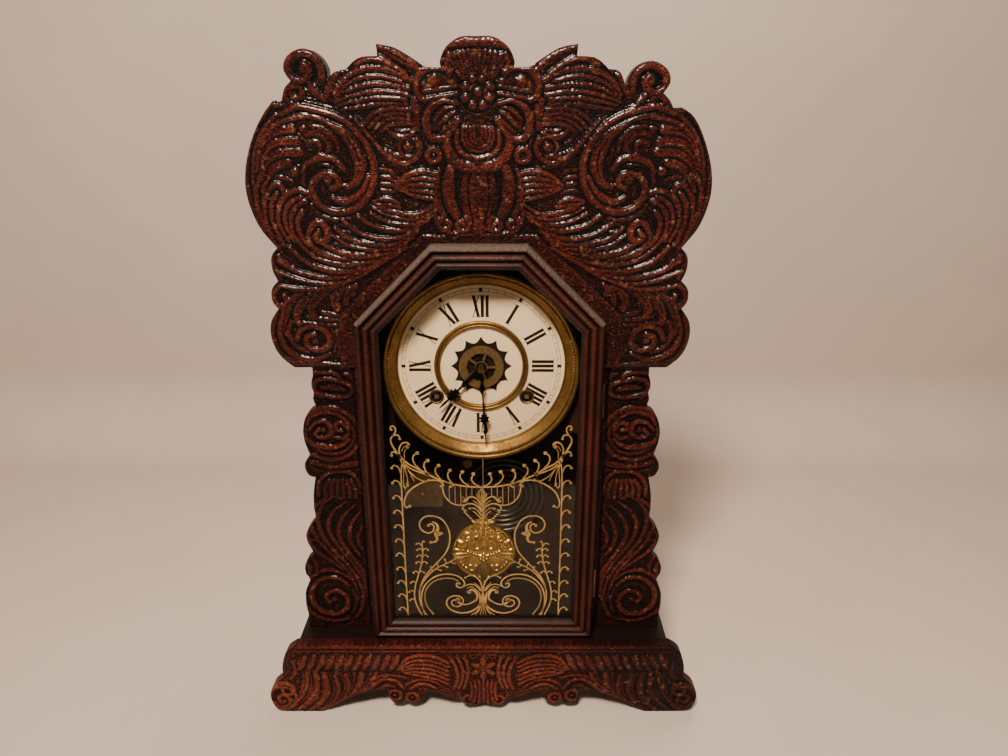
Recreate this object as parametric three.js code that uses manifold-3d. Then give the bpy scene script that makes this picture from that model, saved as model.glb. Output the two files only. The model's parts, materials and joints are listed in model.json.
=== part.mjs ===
// A pressed-oak shelf clock of about 1900: a scroll-sawn front, an octagon-topped glazed door, a six-inch
// dial with an alarm disc, and an eight-day time, strike and alarm movement with a pendulum and a coil gong.
//
// Millimetres. +X is the viewer's right, +Y runs back into the case, +Z is up. The origin is the middle of
// the rectangle that the clock stands on. Every wheel turns about an axis along Y.

import * as THREE from "three";
import { mergeVertices } from "three/addons/utils/BufferGeometryUtils.js";
import Module from "manifold-3d";

const wasm = await Module();
wasm.setup();

// ---------------------------------------------------------------- driving dimensions

const GAP = 0.3; // between pieces that are glued, nailed or seated
const RUNNING = 0.35; // radial clearance of a turning piece

// Case
const CLOCK_DEPTH = 122;
const BASE_TOP_HEIGHT = 75.5;
const BASE_FRONT_HALF_WIDTH = 197.5;
const BASE_FRONT_OVERHANG = 30; // scroll feet beyond the returns behind them
const BASE_PROJECTION = 25.5; // base front ahead of the uprights
const BASE_FRONT_THICKNESS = 12;
const BASE_BOARD_THICKNESS = 11;
const UPRIGHT_THICKNESS = 12;
const UPRIGHT_HALF_SPAN = 163.5; // clock centre line to the widest scallop of an upright
const CREST_THICKNESS = 14;
const RELIEF_HEIGHT = 2.8; // main ridges of the crest and base front above their pressed ground
const CREST_BAND = 25; // plain band round the door
const CREST_HALF_WIDTH = 175.5;
const CREST_BOTTOM_HEIGHT = 333;
const CLOCK_HEIGHT = 580;
const RIGHT_HORN_DROP = 8; // the right horn of the crest is sawn lower than the left one
const OPENING_HALF_WIDTH = 88;
const CASE_HALF_WIDTH = 102;
const CASE_HEIGHT = 446;
const CASE_BOARD_THICKNESS = 10;
const BACK_THICKNESS = 6;
const FINGER_NOTCH_HEIGHT = 246;
const FINGER_NOTCH_RADIUS = 9;

// Door
const DOOR_HALF_WIDTH = 98.5;
const DOOR_BOTTOM = 77.5;
const DOOR_TOP = 434.5;
const DOOR_CORNER = 61; // each 45 degree corner is cut by this much
const DOOR_RAIL_WIDTH = 18.5;
const DOOR_THICKNESS = 15;
const DOOR_CLEARANCE = 0.5; // behind the door
const RABBET_WIDTH = 4;
const GLASS_THICKNESS = 2;
const GLASS_SETBACK = 6.5; // front of the frame to the front of the glass
const BEAD_DEPTH = 4;
const HINGE_HEIGHTS = [290, 112];
const HINGE_LENGTH = 30;
const KNUCKLE_RADIUS = 1.5;
const HINGE_LEAF = 0.8;
const HINGE_LEAF_WIDTH = 9;
const CATCH_WIDTH = 12;

// Dial
const DIAL_HEIGHT = 328.5;
const DIAL_SETBACK = 17.5; // front of the uprights to the dial plate
const DIAL_PLATE_THICKNESS = 1;
const PAPER_THICKNESS = 0.4;
const PAPER_RADIUS = 71;
const BEZEL_RADIUS = 82.5;
const BEZEL_DEPTH = 9.5;
const BEZEL_SHEET = 0.8;
const CENTRE_RING_RADIUS = 39.5;
const CENTRE_RING_WIDTH = 5.5;
const CENTRE_RING_HEIGHT = 2.4;
const DIAL_CENTRE_HOLE = 12;
const WINDING_HOLE = 5;
const WINDING_SPREAD = 38.3; // dial centre to each winding arbor, sideways
const WINDING_DROP = 27.5; // and downwards

// Hands and alarm disc
const HAND_THICKNESS = 0.7;
const MINUTE_HAND_LENGTH = 70.5;
const HOUR_HAND_LENGTH = 51;
const MINUTES_SHOWN = 29.5;
const HOURS_SHOWN = 7;
const ALARM_DISC_RADIUS = 18.7;
const ALARM_DISC_RIM = 6.4;

// Movement
const PLATE_THICKNESS = 1.6;
const PLATE_SPACING = 28.4; // between the inner faces
const PLATE_HALF_WIDTH = 60;
const PLATE_TOP = 392;
const PLATE_BOTTOM = 262;
const PILLAR_RADIUS = 3;
const PLATE_SETBACK = 20; // dial plate's back to the front plate
const ARBOR_RADIUS = 1.2;
const CENTRE_ARBOR_RADIUS = 1.5;
const HOUR_PIPE_RADIUS = 2.8;
const WINDING_ARBOR_RADIUS = 2.6;
const WHEEL_THICKNESS = 1.2;
const MAIN_WHEEL_THICKNESS = 1.8;
const PINION_LENGTH = 2.2;
const SPRING_TURNS = 6;
const SPRING_STRIP = 0.5;
const SPRING_WIDTH = 15;
const SPRING_RADIUS = 21.5;

// Pendulum
const ESCAPE_DROP = 43; // centre arbor down to the escape arbor
const VERGE_ABOVE_ESCAPE = 17;
const SUSPENSION_ABOVE_VERGE = 7;
const CRUTCH_LENGTH = 39;
const PENDULUM_LENGTH = 169; // suspension to the middle of the bob
const PENDULUM_WIRE = 0.6;
const BOB_RADIUS = 30;
const BOB_THICKNESS = 4;

// Gong and alarm
const GONG_X = 18;
const GONG_HEIGHT = 172;
const GONG_RADIUS = 42;
const GONG_TURNS = 5;
const GONG_PITCH = 5.4;
const GONG_WIRE = 1.6;
const GONG_SETBACK = 9; // back board to the coil
const ALARM_X = -58;
const ALARM_HEIGHT = 188;
const ALARM_PLATE = 36;

// ---------------------------------------------------------------- planes and points that follow from them

const yBaseFront = -CLOCK_DEPTH / 2;
const yCaseBack = CLOCK_DEPTH / 2;
const yUprightFront = yBaseFront + BASE_PROJECTION;
const yBoardBack = yUprightFront + UPRIGHT_THICKNESS;
const yCrestFront = yBoardBack - CREST_THICKNESS;
const yDoorBack = yCrestFront - DOOR_CLEARANCE;
const yDoorFront = yDoorBack - DOOR_THICKNESS;
const yGlassFront = yDoorFront + GLASS_SETBACK;
const yBackBoard = yCaseBack - BACK_THICKNESS;
const yDialPlate = yUprightFront + DIAL_SETBACK;
const yDialBack = yDialPlate + DIAL_PLATE_THICKNESS;
const yPaper = yDialPlate - GAP - PAPER_THICKNESS;
const yFrontPlate = yDialBack + PLATE_SETBACK;
const yInside = yFrontPlate + PLATE_THICKNESS;
const yInsideBack = yInside + PLATE_SPACING;
const yBackPlateBack = yInsideBack + PLATE_THICKNESS;
const caseInside = CASE_HALF_WIDTH - CASE_BOARD_THICKNESS;

const yHourHand = yPaper - 5.6;
const yMinuteHand = yHourHand - 3;
const yAlarmDisc = yPaper - 3.2;

const centre = { x: 0, z: DIAL_HEIGHT };
const timeArbor = { x: WINDING_SPREAD, z: DIAL_HEIGHT - WINDING_DROP };
const strikeArbor = { x: -WINDING_SPREAD, z: DIAL_HEIGHT - WINDING_DROP };
const escapeArbor = { x: 0, z: DIAL_HEIGHT - ESCAPE_DROP };
const vergePivot = { x: 0, z: escapeArbor.z + VERGE_ABOVE_ESCAPE };
const suspension = { x: 0, z: vergePivot.z + SUSPENSION_ABOVE_VERGE };

// ---------------------------------------------------------------- materials

function material(color, roughness, metalness, opacity = 1) {
  return new THREE.MeshStandardMaterial({ color, roughness, metalness, opacity, transparent: opacity < 1 });
}
const oak = material(0x3d1712, 0.45, 0);
const darkOak = material(0x24120c, 0.5, 0);
const innerWood = material(0x54402c, 0.8, 0);
const glass = material(0xdde6e2, 0.05, 0, 0.25);
const brass = material(0xa9823a, 0.35, 0.9);
const oldBrass = material(0x8a6f3c, 0.5, 0.8);
const steel = material(0x6e6e70, 0.4, 0.9);
const blackSteel = material(0x0d0d0d, 0.5, 0.4);
const iron = material(0x1d1b1a, 0.7, 0.5);
const zinc = material(0xa8a59c, 0.6, 0.6);
const paper = material(0xeadcbe, 0.8, 0);
const putty = material(0x3a2a1c, 0.8, 0);

// ---------------------------------------------------------------- tools for making geometry

// A closed geometry as a manifold-3d solid.
function solidOf(geometry) {
  const flat = geometry.index ? geometry.toNonIndexed() : geometry.clone();
  flat.deleteAttribute("normal");
  flat.deleteAttribute("uv");
  const merged = mergeVertices(flat, 1e-4);
  return new wasm.Manifold(
    new wasm.Mesh({
      numProp: 3,
      vertProperties: merged.attributes.position.array,
      triVerts: new Uint32Array(merged.index.array),
    }),
  );
}

// A closed geometry with its faces turned outwards.
function outwards(geometry) {
  if (solidOf(geometry).volume() > 0) return geometry;
  const index = geometry.index.array;
  for (let i = 0; i < index.length; i += 3) [index[i + 1], index[i + 2]] = [index[i + 2], index[i + 1]];
  return geometry;
}

function geometryOf(solid) {
  const mesh = solid.getMesh();
  const geometry = new THREE.BufferGeometry();
  geometry.setAttribute("position", new THREE.BufferAttribute(mesh.vertProperties, 3));
  geometry.setIndex(new THREE.BufferAttribute(mesh.triVerts, 1));
  return geometry;
}

// One solid from several geometries, less the geometries in cuts.
function join(parts, cuts = []) {
  let solid = solidOf(parts[0]);
  for (const part of parts.slice(1)) solid = solid.add(solidOf(part));
  for (const cut of cuts) solid = solid.subtract(solidOf(cut));
  return geometryOf(solid);
}

// A flat outline drawn in X and Z, from yFront back by its thickness.
function plate(shape, yFront, thickness, curveSegments = 2) {
  const geometry = new THREE.ExtrudeGeometry(shape, { depth: thickness, bevelEnabled: false, curveSegments });
  return geometry.rotateX(Math.PI / 2).translate(0, yFront + thickness, 0);
}

function polygon(points) {
  return new THREE.Shape(points.map(([x, z]) => new THREE.Vector2(x, z)));
}

function box(x0, x1, y0, y1, z0, z1) {
  const geometry = new THREE.BoxGeometry(x1 - x0, y1 - y0, z1 - z0);
  return geometry.translate((x0 + x1) / 2, (y0 + y1) / 2, (z0 + z1) / 2);
}

// A round bar along Y.
function bar(radius, y0, y1, sides = 12, x = 0, z = 0) {
  return new THREE.CylinderGeometry(radius, radius, y1 - y0, sides).translate(x, (y0 + y1) / 2, z);
}

// A cutter for a round hole along Y: its flats clear the radius.
function hole(radius, y0, y1, sides = 10, x = 0, z = 0) {
  return bar(radius / Math.cos(Math.PI / sides), y0, y1, sides, x, z);
}

// A ring turned about Y from a closed profile of [radius, y] points.
function turned(profile, segments) {
  const points = [...profile, profile[0]].map(([r, y]) => new THREE.Vector2(r, y));
  const area = points.slice(1).reduce((sum, p, i) => sum + points[i].x * p.y - p.x * points[i].y, 0);
  return new THREE.LatheGeometry(area > 0 ? points : points.reverse(), segments);
}

// A straight round wire from one point to another.
function wire(from, to, radius, sides = 6) {
  const a = new THREE.Vector3(...from);
  const b = new THREE.Vector3(...to);
  const geometry = new THREE.CylinderGeometry(radius, radius, a.distanceTo(b), sides);
  const turn = new THREE.Quaternion().setFromUnitVectors(
    new THREE.Vector3(0, 1, 0),
    b.clone().sub(a).normalize(),
  );
  return geometry.applyQuaternion(turn).translate((a.x + b.x) / 2, (a.y + b.y) / 2, (a.z + b.z) / 2);
}

// The point that lies ra from a and rb from b, on the left of the way from a to b for side 1.
function meshPoint(a, ra, b, rb, side) {
  const dx = b.x - a.x;
  const dz = b.z - a.z;
  const d = Math.hypot(dx, dz);
  const along = (ra * ra - rb * rb + d * d) / (2 * d);
  const across = side * Math.sqrt(Math.max(ra * ra - along * along, 0));
  return { x: a.x + (dx * along - dz * across) / d, z: a.z + (dz * along + dx * across) / d };
}

function polar(from, radius, degrees) {
  const t = THREE.MathUtils.degToRad(degrees);
  return { x: from.x + radius * Math.cos(t), z: from.z + radius * Math.sin(t) };
}

// ---------------------------------------------------------------- the object and its pieces

const clock = new THREE.Group();

function add(name, geometry, finish, at = { x: 0, z: 0 }) {
  const mesh = new THREE.Mesh(geometry, finish);
  mesh.name = name;
  mesh.position.set(at.x, 0, at.z);
  clock.add(mesh);
  return mesh;
}

// Smooth runs that meet at sharp notches. Each run is a list of [x, z] points on its curve.
function drawRuns(shape, runs) {
  for (const run of runs) {
    if (run.length === 1) shape.lineTo(...run[0]);
    else shape.splineThru(run.map(([x, z]) => new THREE.Vector2(x, z)));
  }
  return shape;
}

// The same runs seen from the other side of the centre line, in the opposite order.
function mirrorRuns(start, runs) {
  const corners = [start, ...runs.map((run) => run[run.length - 1])];
  return runs
    .map((run, i) => [...run.slice(0, -1).reverse(), corners[i]].map(([x, z]) => [-x, z]))
    .reverse();
}

// ---------------------------------------------------------------- case: pressed relief

// The boards are pressed in a die, which sinks their ground and leaves the ridges standing at the old front.
const RIDGE_ROOT = 1; // how far a ridge reaches into the board under it
const RIDGE_STATION = 26; // a ridge turns about every so many millimetres

// One ridge along a smooth line: three corners at each station, the middle one at the front. It swells from
// a third of its width at its ends.
function ridge(points, width, yFront) {
  const curve = new THREE.SplineCurve(points.map(([x, z]) => new THREE.Vector2(x, z)));
  const steps = Math.max(2, Math.round(curve.getLength() / RIDGE_STATION));
  const corners = [];
  const index = [];
  for (let i = 0; i <= steps; i++) {
    const at = curve.getPointAt(i / steps);
    const way = curve.getTangentAt(i / steps);
    const half = (width / 2) * (1 / 3 + (2 / 3) * Math.sin((Math.PI * i) / steps));
    corners.push(at.x + way.y * half, yFront + RELIEF_HEIGHT + RIDGE_ROOT, at.y - way.x * half);
    corners.push(at.x, yFront, at.y);
    corners.push(at.x - way.y * half, yFront + RELIEF_HEIGHT + RIDGE_ROOT, at.y + way.x * half);
    if (i === steps) break;
    for (let k = 0; k < 3; k++) {
      const a = 3 * i + k;
      const b = 3 * i + ((k + 1) % 3);
      index.push(a, b, a + 3, b, b + 3, a + 3);
    }
  }
  index.push(2, 1, 0, 3 * steps, 3 * steps + 1, 3 * steps + 2);
  const geometry = new THREE.BufferGeometry();
  geometry.setAttribute("position", new THREE.Float32BufferAttribute(corners, 3));
  geometry.setIndex(index);
  return outwards(geometry);
}

// A button or petal: a low cap on a round or oval foot.
function boss([x, z], width, height, yFront) {
  const profile = [[0, 0], [0.62, 0.5], [1, RELIEF_HEIGHT], [1, RELIEF_HEIGHT + RIDGE_ROOT], [0, RELIEF_HEIGHT + RIDGE_ROOT]];
  const cap = new THREE.LatheGeometry(profile.map(([r, y]) => new THREE.Vector2(r, y)), 8);
  return outwards(cap).scale(width / 2, 1, height / 2).translate(x, yFront, z);
}

// Lines and bosses of the left half, and the same on the right.
function bothSides(lines, bosses, place, yFront) {
  const flip = ([x, z]) => [-x, z];
  return [
    ...lines.flatMap(([width, ...points]) => {
      const line = points.map(place);
      return [ridge(line, width, yFront), ridge(line.map(flip), width, yFront)];
    }),
    ...bosses.flatMap(([width, height, point]) => {
      const at = place(point);
      return at[0] === 0 ? [boss(at, width, height, yFront)]
        : [boss(at, width, height, yFront), boss(flip(at), width, height, yFront)];
    }),
  ];
}

// ---------------------------------------------------------------- case: crest

// The left half of the crest, from the middle of its top lobe down to its foot, as half-width runs.
const crestDrawing = { half: 175.5, bottom: 333, top: 580 };
const hornRuns = (drop) => [
  [[-108, 560 - drop], [-114, 568.5 - drop], [-124.5, 572 - drop], [-135, 567 - drop], [-138.5, 558.5 - drop],
    [-134, 550.5 - drop]],
  [[-139, 545.5 - drop], [-142, 537 - drop * 0.6]],
  [[-148, 537.5 - drop * 0.6]],
];
const crestRuns = (drop) => [
  [[-12, 579.5], [-22, 573], [-26.5, 564], [-26, 559.5]],
  [[-38.5, 560.5]],
  [[-50, 568], [-60, 573], [-71.5, 575]],
  [[-71, 567]],
  [[-84, 566], [-94, 558.5]],
  [[-102, 556.5], [-107.5, 552 - drop]],
  ...hornRuns(drop),
  [[-158, 525.5], [-167.5, 508], [-174, 487], [-174.5, 468], [-168, 447], [-156, 430.5]],
  [[-161, 424], [-161.5, 414], [-158, 404.5]],
  [[-163.5, 398], [-164, 389], [-160, 382]],
  [[-167, 371], [-167.8, 357], [-162.5, 343], [-151.5, 333]],
];

function crestPoint([x, z]) {
  const tall = (CLOCK_HEIGHT - CREST_BOTTOM_HEIGHT) / (crestDrawing.top - crestDrawing.bottom);
  return [
    (x * CREST_HALF_WIDTH) / crestDrawing.half,
    CREST_BOTTOM_HEIGHT + (z - crestDrawing.bottom) * tall,
  ];
}

const openingTop = DOOR_TOP - 9;
const openingCorner = OPENING_HALF_WIDTH - (DOOR_HALF_WIDTH - DOOR_CORNER) - 4;
const crestTopMiddle = [0, crestDrawing.top];
const leftCrest = crestRuns(0);
const rightCrest = mirrorRuns(crestTopMiddle, crestRuns(RIGHT_HORN_DROP));
const crestShape = new THREE.Shape();
crestShape.moveTo(...crestPoint(crestTopMiddle));
drawRuns(crestShape, leftCrest.map((run) => run.map(crestPoint)));
for (const side of [-1, 1]) {
  const ends = [
    [side * OPENING_HALF_WIDTH, CREST_BOTTOM_HEIGHT],
    [side * OPENING_HALF_WIDTH, openingTop - openingCorner],
    [side * (OPENING_HALF_WIDTH - openingCorner), openingTop],
  ];
  for (const corner of side < 0 ? ends : ends.reverse()) crestShape.lineTo(...corner);
}
const crestFootRight = crestRuns(0).at(-1).at(-1);
crestShape.lineTo(...crestPoint([-crestFootRight[0], crestFootRight[1]]));
drawRuns(crestShape, rightCrest.map((run) => run.map(crestPoint)));

// Main ridges of the left half: a width, then the points of its line, in the drawing's millimetres.
const crestLines = [
  // the great scroll and the crescent in it
  [9, [-143, 527], [-118, 530], [-93, 519], [-79, 497], [-84, 470], [-104, 459], [-121, 466], [-122, 481], [-107, 483]],
  [13, [-107, 520], [-91, 502], [-98, 477]],
  // a feather along the sawn edge, and leaves inside it
  [8, [-150, 531], [-169, 504], [-170, 470], [-156, 435]],
  [10, [-161, 495], [-150, 511], [-134, 513]],
  [10, [-161, 475], [-151, 492], [-136, 498]],
  [10, [-150, 436], [-154, 462], [-134, 473]],
  [9, [-118, 448], [-126, 438], [-99, 421]],
  // sweeps that gather under the flower
  [11, [-97, 454], [-66, 442], [-38, 453]],
  [11, [-137, 433], [-100, 420], [-52, 436]],
  [10, [-157, 419], [-118, 406], [-72, 424]],
  // fans from the horn to the flower
  [11, [-103, 540], [-80, 555], [-48, 550]],
  [9, [-102, 533], [-74, 541], [-50, 538]],
  [10, [-82, 563], [-58, 566], [-42, 557]],
  [11, [-84, 519], [-66, 528], [-48, 527]],
  [8, [-80, 512], [-60, 495], [-44, 500]],
  // a shell and the stem leaves under the flower
  [13, [-63, 475], [-46, 479], [-30, 475]],
  [11, [-22, 491], [-24, 470], [-20, 447]],
  // lower lobes
  [8, [-157, 401], [-122, 399], [-92, 411]],
  [9, [-138, 395], [-155, 378], [-151, 357]],
  [11, [-114, 397], [-132, 386], [-133, 377]],
  [8, [-162, 373], [-160, 350], [-138, 339], [-121, 347], [-124, 364], [-141, 360]],
  // petals
  [9, [-17, 535], [-36, 524], [-14, 522]],
  [9, [-23, 557], [-15, 571], [0, 573]],
];
const crestBosses = [
  [34, 34, [0, 507]],
  [22, 22, [0, 544]],
  [17, 17, [-32, 548]],
];

// The horns are drawn one by one, because the right one stands lower.
function horn(side, drop) {
  const lines = [
    [8, [-110, 552], [-114, 565], [-128, 569], [-136, 559], [-129, 551], [-121, 558]],
  ];
  return lines.map(([width, ...points]) => {
    const line = points.map(([x, z]) => crestPoint([-side * x, z - drop]));
    return ridge(side < 0 ? line : line.reverse(), width, yCrestFront);
  });
}

const crestBand = polygon([
  ...[-1, 1].flatMap((side) => {
    const outer = [
      [side * (OPENING_HALF_WIDTH + CREST_BAND), CREST_BOTTOM_HEIGHT],
      [side * (OPENING_HALF_WIDTH + CREST_BAND), openingTop - openingCorner + CREST_BAND / 4],
      [side * (OPENING_HALF_WIDTH - openingCorner + CREST_BAND / 4), openingTop + CREST_BAND * 0.6],
    ];
    return side < 0 ? outer : outer.reverse();
  }),
  ...[1, -1].flatMap((side) => {
    const inner = [
      [side * OPENING_HALF_WIDTH, CREST_BOTTOM_HEIGHT],
      [side * OPENING_HALF_WIDTH, openingTop - openingCorner],
      [side * (OPENING_HALF_WIDTH - openingCorner), openingTop],
    ];
    return side > 0 ? inner : inner.reverse();
  }),
]);
add(
  "crest_board",
  join([
    plate(crestShape, yCrestFront + RELIEF_HEIGHT, CREST_THICKNESS - RELIEF_HEIGHT),
    plate(crestBand, yCrestFront, RELIEF_HEIGHT + RIDGE_ROOT),
    ...bothSides(crestLines, crestBosses, crestPoint, yCrestFront),
    ...horn(-1, 0),
    ...horn(1, RIGHT_HORN_DROP),
  ]),
  oak,
);

// ---------------------------------------------------------------- case: uprights

// The left upright's outer edge from the crest down to the base top.
const uprightDrawing = { span: 163.5, bottom: 75.5, top: 333 };
const uprightRuns = [
  [[-138, 326]],
  [[-140, 318], [-138.5, 311]],
  [[-139.5, 304], [-137.5, 297.5]],
  [[-146.5, 290], [-150.8, 272], [-146, 252]],
  [[-151, 247], [-152, 240], [-149, 233.5], [-144, 231.7]],
  [[-147.3, 212], [-147, 190]],
  [[-154.5, 181], [-157, 170], [-151.5, 154.5]],
  [[-159, 147], [-161.3, 137], [-157, 127]],
  [[-162.5, 115], [-163.3, 100], [-162.5, 90]],
];
const uprightTop = CREST_BOTTOM_HEIGHT - GAP;
const uprightFoot = BASE_TOP_HEIGHT + GAP;

function uprightPoint([x, z]) {
  const tall = (uprightTop - uprightFoot) / (uprightDrawing.top - uprightDrawing.bottom);
  return [
    (x * UPRIGHT_HALF_SPAN) / uprightDrawing.span,
    uprightFoot + (z - uprightDrawing.bottom) * tall,
  ];
}

function upright(side) {
  const runs = uprightRuns.map((run) => run.map(uprightPoint).map(([x, z]) => [-side * x, z]));
  const [footX] = runs.at(-1).at(-1);
  const shape = new THREE.Shape();
  shape.moveTo(side * OPENING_HALF_WIDTH, uprightTop);
  shape.lineTo(runs[0][0][0], uprightTop);
  drawRuns(shape, runs);
  shape.lineTo(footX, uprightFoot);
  shape.lineTo(side * OPENING_HALF_WIDTH, uprightFoot);
  return plate(shape, yUprightFront, UPRIGHT_THICKNESS);
}

// The left upright is scooped beside the door, where a fingertip pulls the door open.
const fingerScoop = new THREE.SphereGeometry(FINGER_NOTCH_RADIUS, 12, 8);
fingerScoop.translate(-DOOR_HALF_WIDTH - 3, yUprightFront - FINGER_NOTCH_RADIUS * 0.45, FINGER_NOTCH_HEIGHT);
add("left_upright", join([upright(-1)], [fingerScoop]), oak);
add("right_upright", upright(1), oak);

// ---------------------------------------------------------------- case: base

// The left half of the base front, from the middle of its lower edge to its top corner.
const baseDrawing = { half: 197.5, height: 76 };
const baseRuns = [
  [[-6, 8.5], [-12, 7], [-18, 10], [-22, 17]],
  [[-30, 16], [-42, 21.5], [-53.5, 25]],
  [[-57, 15], [-65.5, 10.5], [-71.5, 14]],
  [[-79, 9.5], [-85.5, 12.5], [-88, 25]],
  [[-100, 24.5], [-120, 18.5], [-138, 8.5], [-150, 0]],
  [[-184, 0]],
  [[-193, 4.5], [-197.5, 17], [-194, 30], [-184, 39.5]],
  [[-183, 55], [-178, 69], [-169, 76]],
];

function basePoint([x, z]) {
  return [(x * BASE_FRONT_HALF_WIDTH) / baseDrawing.half, (z * BASE_TOP_HEIGHT) / baseDrawing.height];
}

const baseMiddle = [0, 12];
const baseShape = new THREE.Shape();
baseShape.moveTo(...basePoint(baseMiddle));
drawRuns(baseShape, baseRuns.map((run) => run.map(basePoint)));
baseShape.lineTo(...basePoint([169, baseDrawing.height]));
drawRuns(baseShape, mirrorRuns(baseMiddle, baseRuns).map((run) => run.map(basePoint)));

// Its main ridges: leaves that sweep up from the curled feet, arches over the drops and a rosette.
const baseLines = [
  [7, [-196, 22], [-188, 33], [-177, 30], [-187, 20]],
  [9, [-172, 4], [-159, 24], [-157, 47]],
  [9, [-156, 4], [-142, 22], [-142, 46]],
  [9, [-139, 10], [-119, 28], [-113, 46]],
  [7, [-105, 29], [-90, 38.5], [-73, 29]],
  [10, [-76, 52], [-56, 61], [-33, 56]],
  [9, [-72, 45], [-54, 45], [-33, 38]],
  [8, [-24, 62], [-20, 45], [-23, 29]],
];
const baseBosses = [
  [20, 20, [0, 50]],
  [12, 12, [-82, 20]],
  [11, 11, [-66, 18]],
];
const baseBorder = box(
  -BASE_FRONT_HALF_WIDTH + BASE_FRONT_OVERHANG + 2,
  BASE_FRONT_HALF_WIDTH - BASE_FRONT_OVERHANG - 2,
  yBaseFront,
  yBaseFront + RELIEF_HEIGHT + RIDGE_ROOT,
  BASE_TOP_HEIGHT - 6,
  BASE_TOP_HEIGHT,
);
add(
  "base_front_board",
  join([
    plate(baseShape, yBaseFront + RELIEF_HEIGHT, BASE_FRONT_THICKNESS - RELIEF_HEIGHT),
    baseBorder,
    ...bothSides(baseLines, baseBosses, basePoint, yBaseFront),
  ]),
  oak,
);

const yBaseInside = yBaseFront + BASE_FRONT_THICKNESS + GAP;
const baseHalf = BASE_FRONT_HALF_WIDTH - BASE_FRONT_OVERHANG;
const baseBoardUnderside = BASE_TOP_HEIGHT - BASE_BOARD_THICKNESS;
add("base_top_board", box(-baseHalf, baseHalf, yBaseInside, yCaseBack, baseBoardUnderside, BASE_TOP_HEIGHT), darkOak);

// Each side return is sawn to a low arch between its two feet.
const RETURN_FOOT = 24;
const RETURN_ARCH = 22;
function baseReturn(side) {
  const returnTop = baseBoardUnderside - GAP;
  const shape = new THREE.Shape();
  shape.moveTo(yBaseInside, 0);
  shape.lineTo(yBaseInside + RETURN_FOOT, 0);
  shape.splineThru([
    new THREE.Vector2(yBaseInside + RETURN_FOOT + 14, RETURN_ARCH * 0.8),
    new THREE.Vector2((yBaseInside + yCaseBack) / 2, RETURN_ARCH),
    new THREE.Vector2(yCaseBack - RETURN_FOOT - 14, RETURN_ARCH * 0.8),
    new THREE.Vector2(yCaseBack - RETURN_FOOT, 0),
  ]);
  shape.lineTo(yCaseBack, 0);
  shape.lineTo(yCaseBack, returnTop);
  shape.lineTo(yBaseInside, returnTop);
  const thick = { depth: BASE_BOARD_THICKNESS, bevelEnabled: false, curveSegments: 3 };
  // Drawn in Y and Z, then stood up so that its thickness runs along X.
  const geometry = new THREE.ExtrudeGeometry(shape, thick).rotateX(Math.PI / 2).rotateZ(Math.PI / 2);
  return geometry.translate(side > 0 ? baseHalf - BASE_BOARD_THICKNESS : -baseHalf, 0, 0);
}
add("base_left_side", baseReturn(-1), darkOak);
add("base_right_side", baseReturn(1), darkOak);

// ---------------------------------------------------------------- case: box behind the front

const boxFront = yBoardBack + GAP;
const boxBack = yBackBoard - GAP;
const boxFoot = BASE_TOP_HEIGHT + GAP;
const roofUnderside = CASE_HEIGHT - CASE_BOARD_THICKNESS;
for (const [name, side] of [["case_left_side", -1], ["case_right_side", 1]]) {
  const [x0, x1] = side < 0 ? [-CASE_HALF_WIDTH, -caseInside] : [caseInside, CASE_HALF_WIDTH];
  add(name, box(x0, x1, boxFront, boxBack, boxFoot, roofUnderside - GAP), darkOak);
}
add("case_roof", box(-CASE_HALF_WIDTH, CASE_HALF_WIDTH, boxFront, boxBack, roofUnderside, CASE_HEIGHT), darkOak);
add("back_board", box(-CASE_HALF_WIDTH, CASE_HALF_WIDTH, yBackBoard, yCaseBack, boxFoot, CASE_HEIGHT), innerWood);

// Upright strips that the dial plate is nailed to.
const DIAL_STRIP_DEPTH = 11;
const DIAL_STRIP_HALF_HEIGHT = 62;
const dialStripInner = BEZEL_RADIUS - 7;
for (const [name, side] of [["dial_strip_left", -1], ["dial_strip_right", 1]]) {
  const xs = [side * dialStripInner, side * (caseInside - GAP)].sort((a, b) => a - b);
  const y0 = yDialBack + GAP;
  add(name, box(...xs, y0, y0 + DIAL_STRIP_DEPTH, DIAL_HEIGHT - DIAL_STRIP_HALF_HEIGHT, DIAL_HEIGHT + DIAL_STRIP_HALF_HEIGHT), innerWood);
}

// ---------------------------------------------------------------- door

// Corners of the octagon-topped outline, moved in from the door's outer edge.
function doorCorners(inset) {
  const bevel = inset * Math.tan(Math.PI / 8);
  const half = DOOR_HALF_WIDTH - inset;
  const shoulder = DOOR_TOP - DOOR_CORNER - bevel;
  const flat = DOOR_HALF_WIDTH - DOOR_CORNER - bevel;
  return [
    [-half, DOOR_BOTTOM + inset],
    [half, DOOR_BOTTOM + inset],
    [half, shoulder],
    [flat, DOOR_TOP - inset],
    [-flat, DOOR_TOP - inset],
    [-half, shoulder],
  ];
}

// Section of a rail: distance in from the door's outer edge, and depth behind the door's front.
const lip = GLASS_SETBACK - GAP;
const railProfile = [
  [0, DOOR_THICKNESS],
  [0, 3.2],
  [1.2, 1.1],
  [3, 0.3],
  [4.8, 1.1],
  [5.6, 2.8],
  [6.8, 1],
  [9, 0],
  [11.2, 1],
  [12.2, 2.8],
  [13.2, 1.3],
  [15.2, 0.8],
  [17.2, 2],
  [DOOR_RAIL_WIDTH, 3.8],
  [DOOR_RAIL_WIDTH, lip],
  [DOOR_RAIL_WIDTH - RABBET_WIDTH, lip],
  [DOOR_RAIL_WIDTH - RABBET_WIDTH, DOOR_THICKNESS],
];

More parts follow.
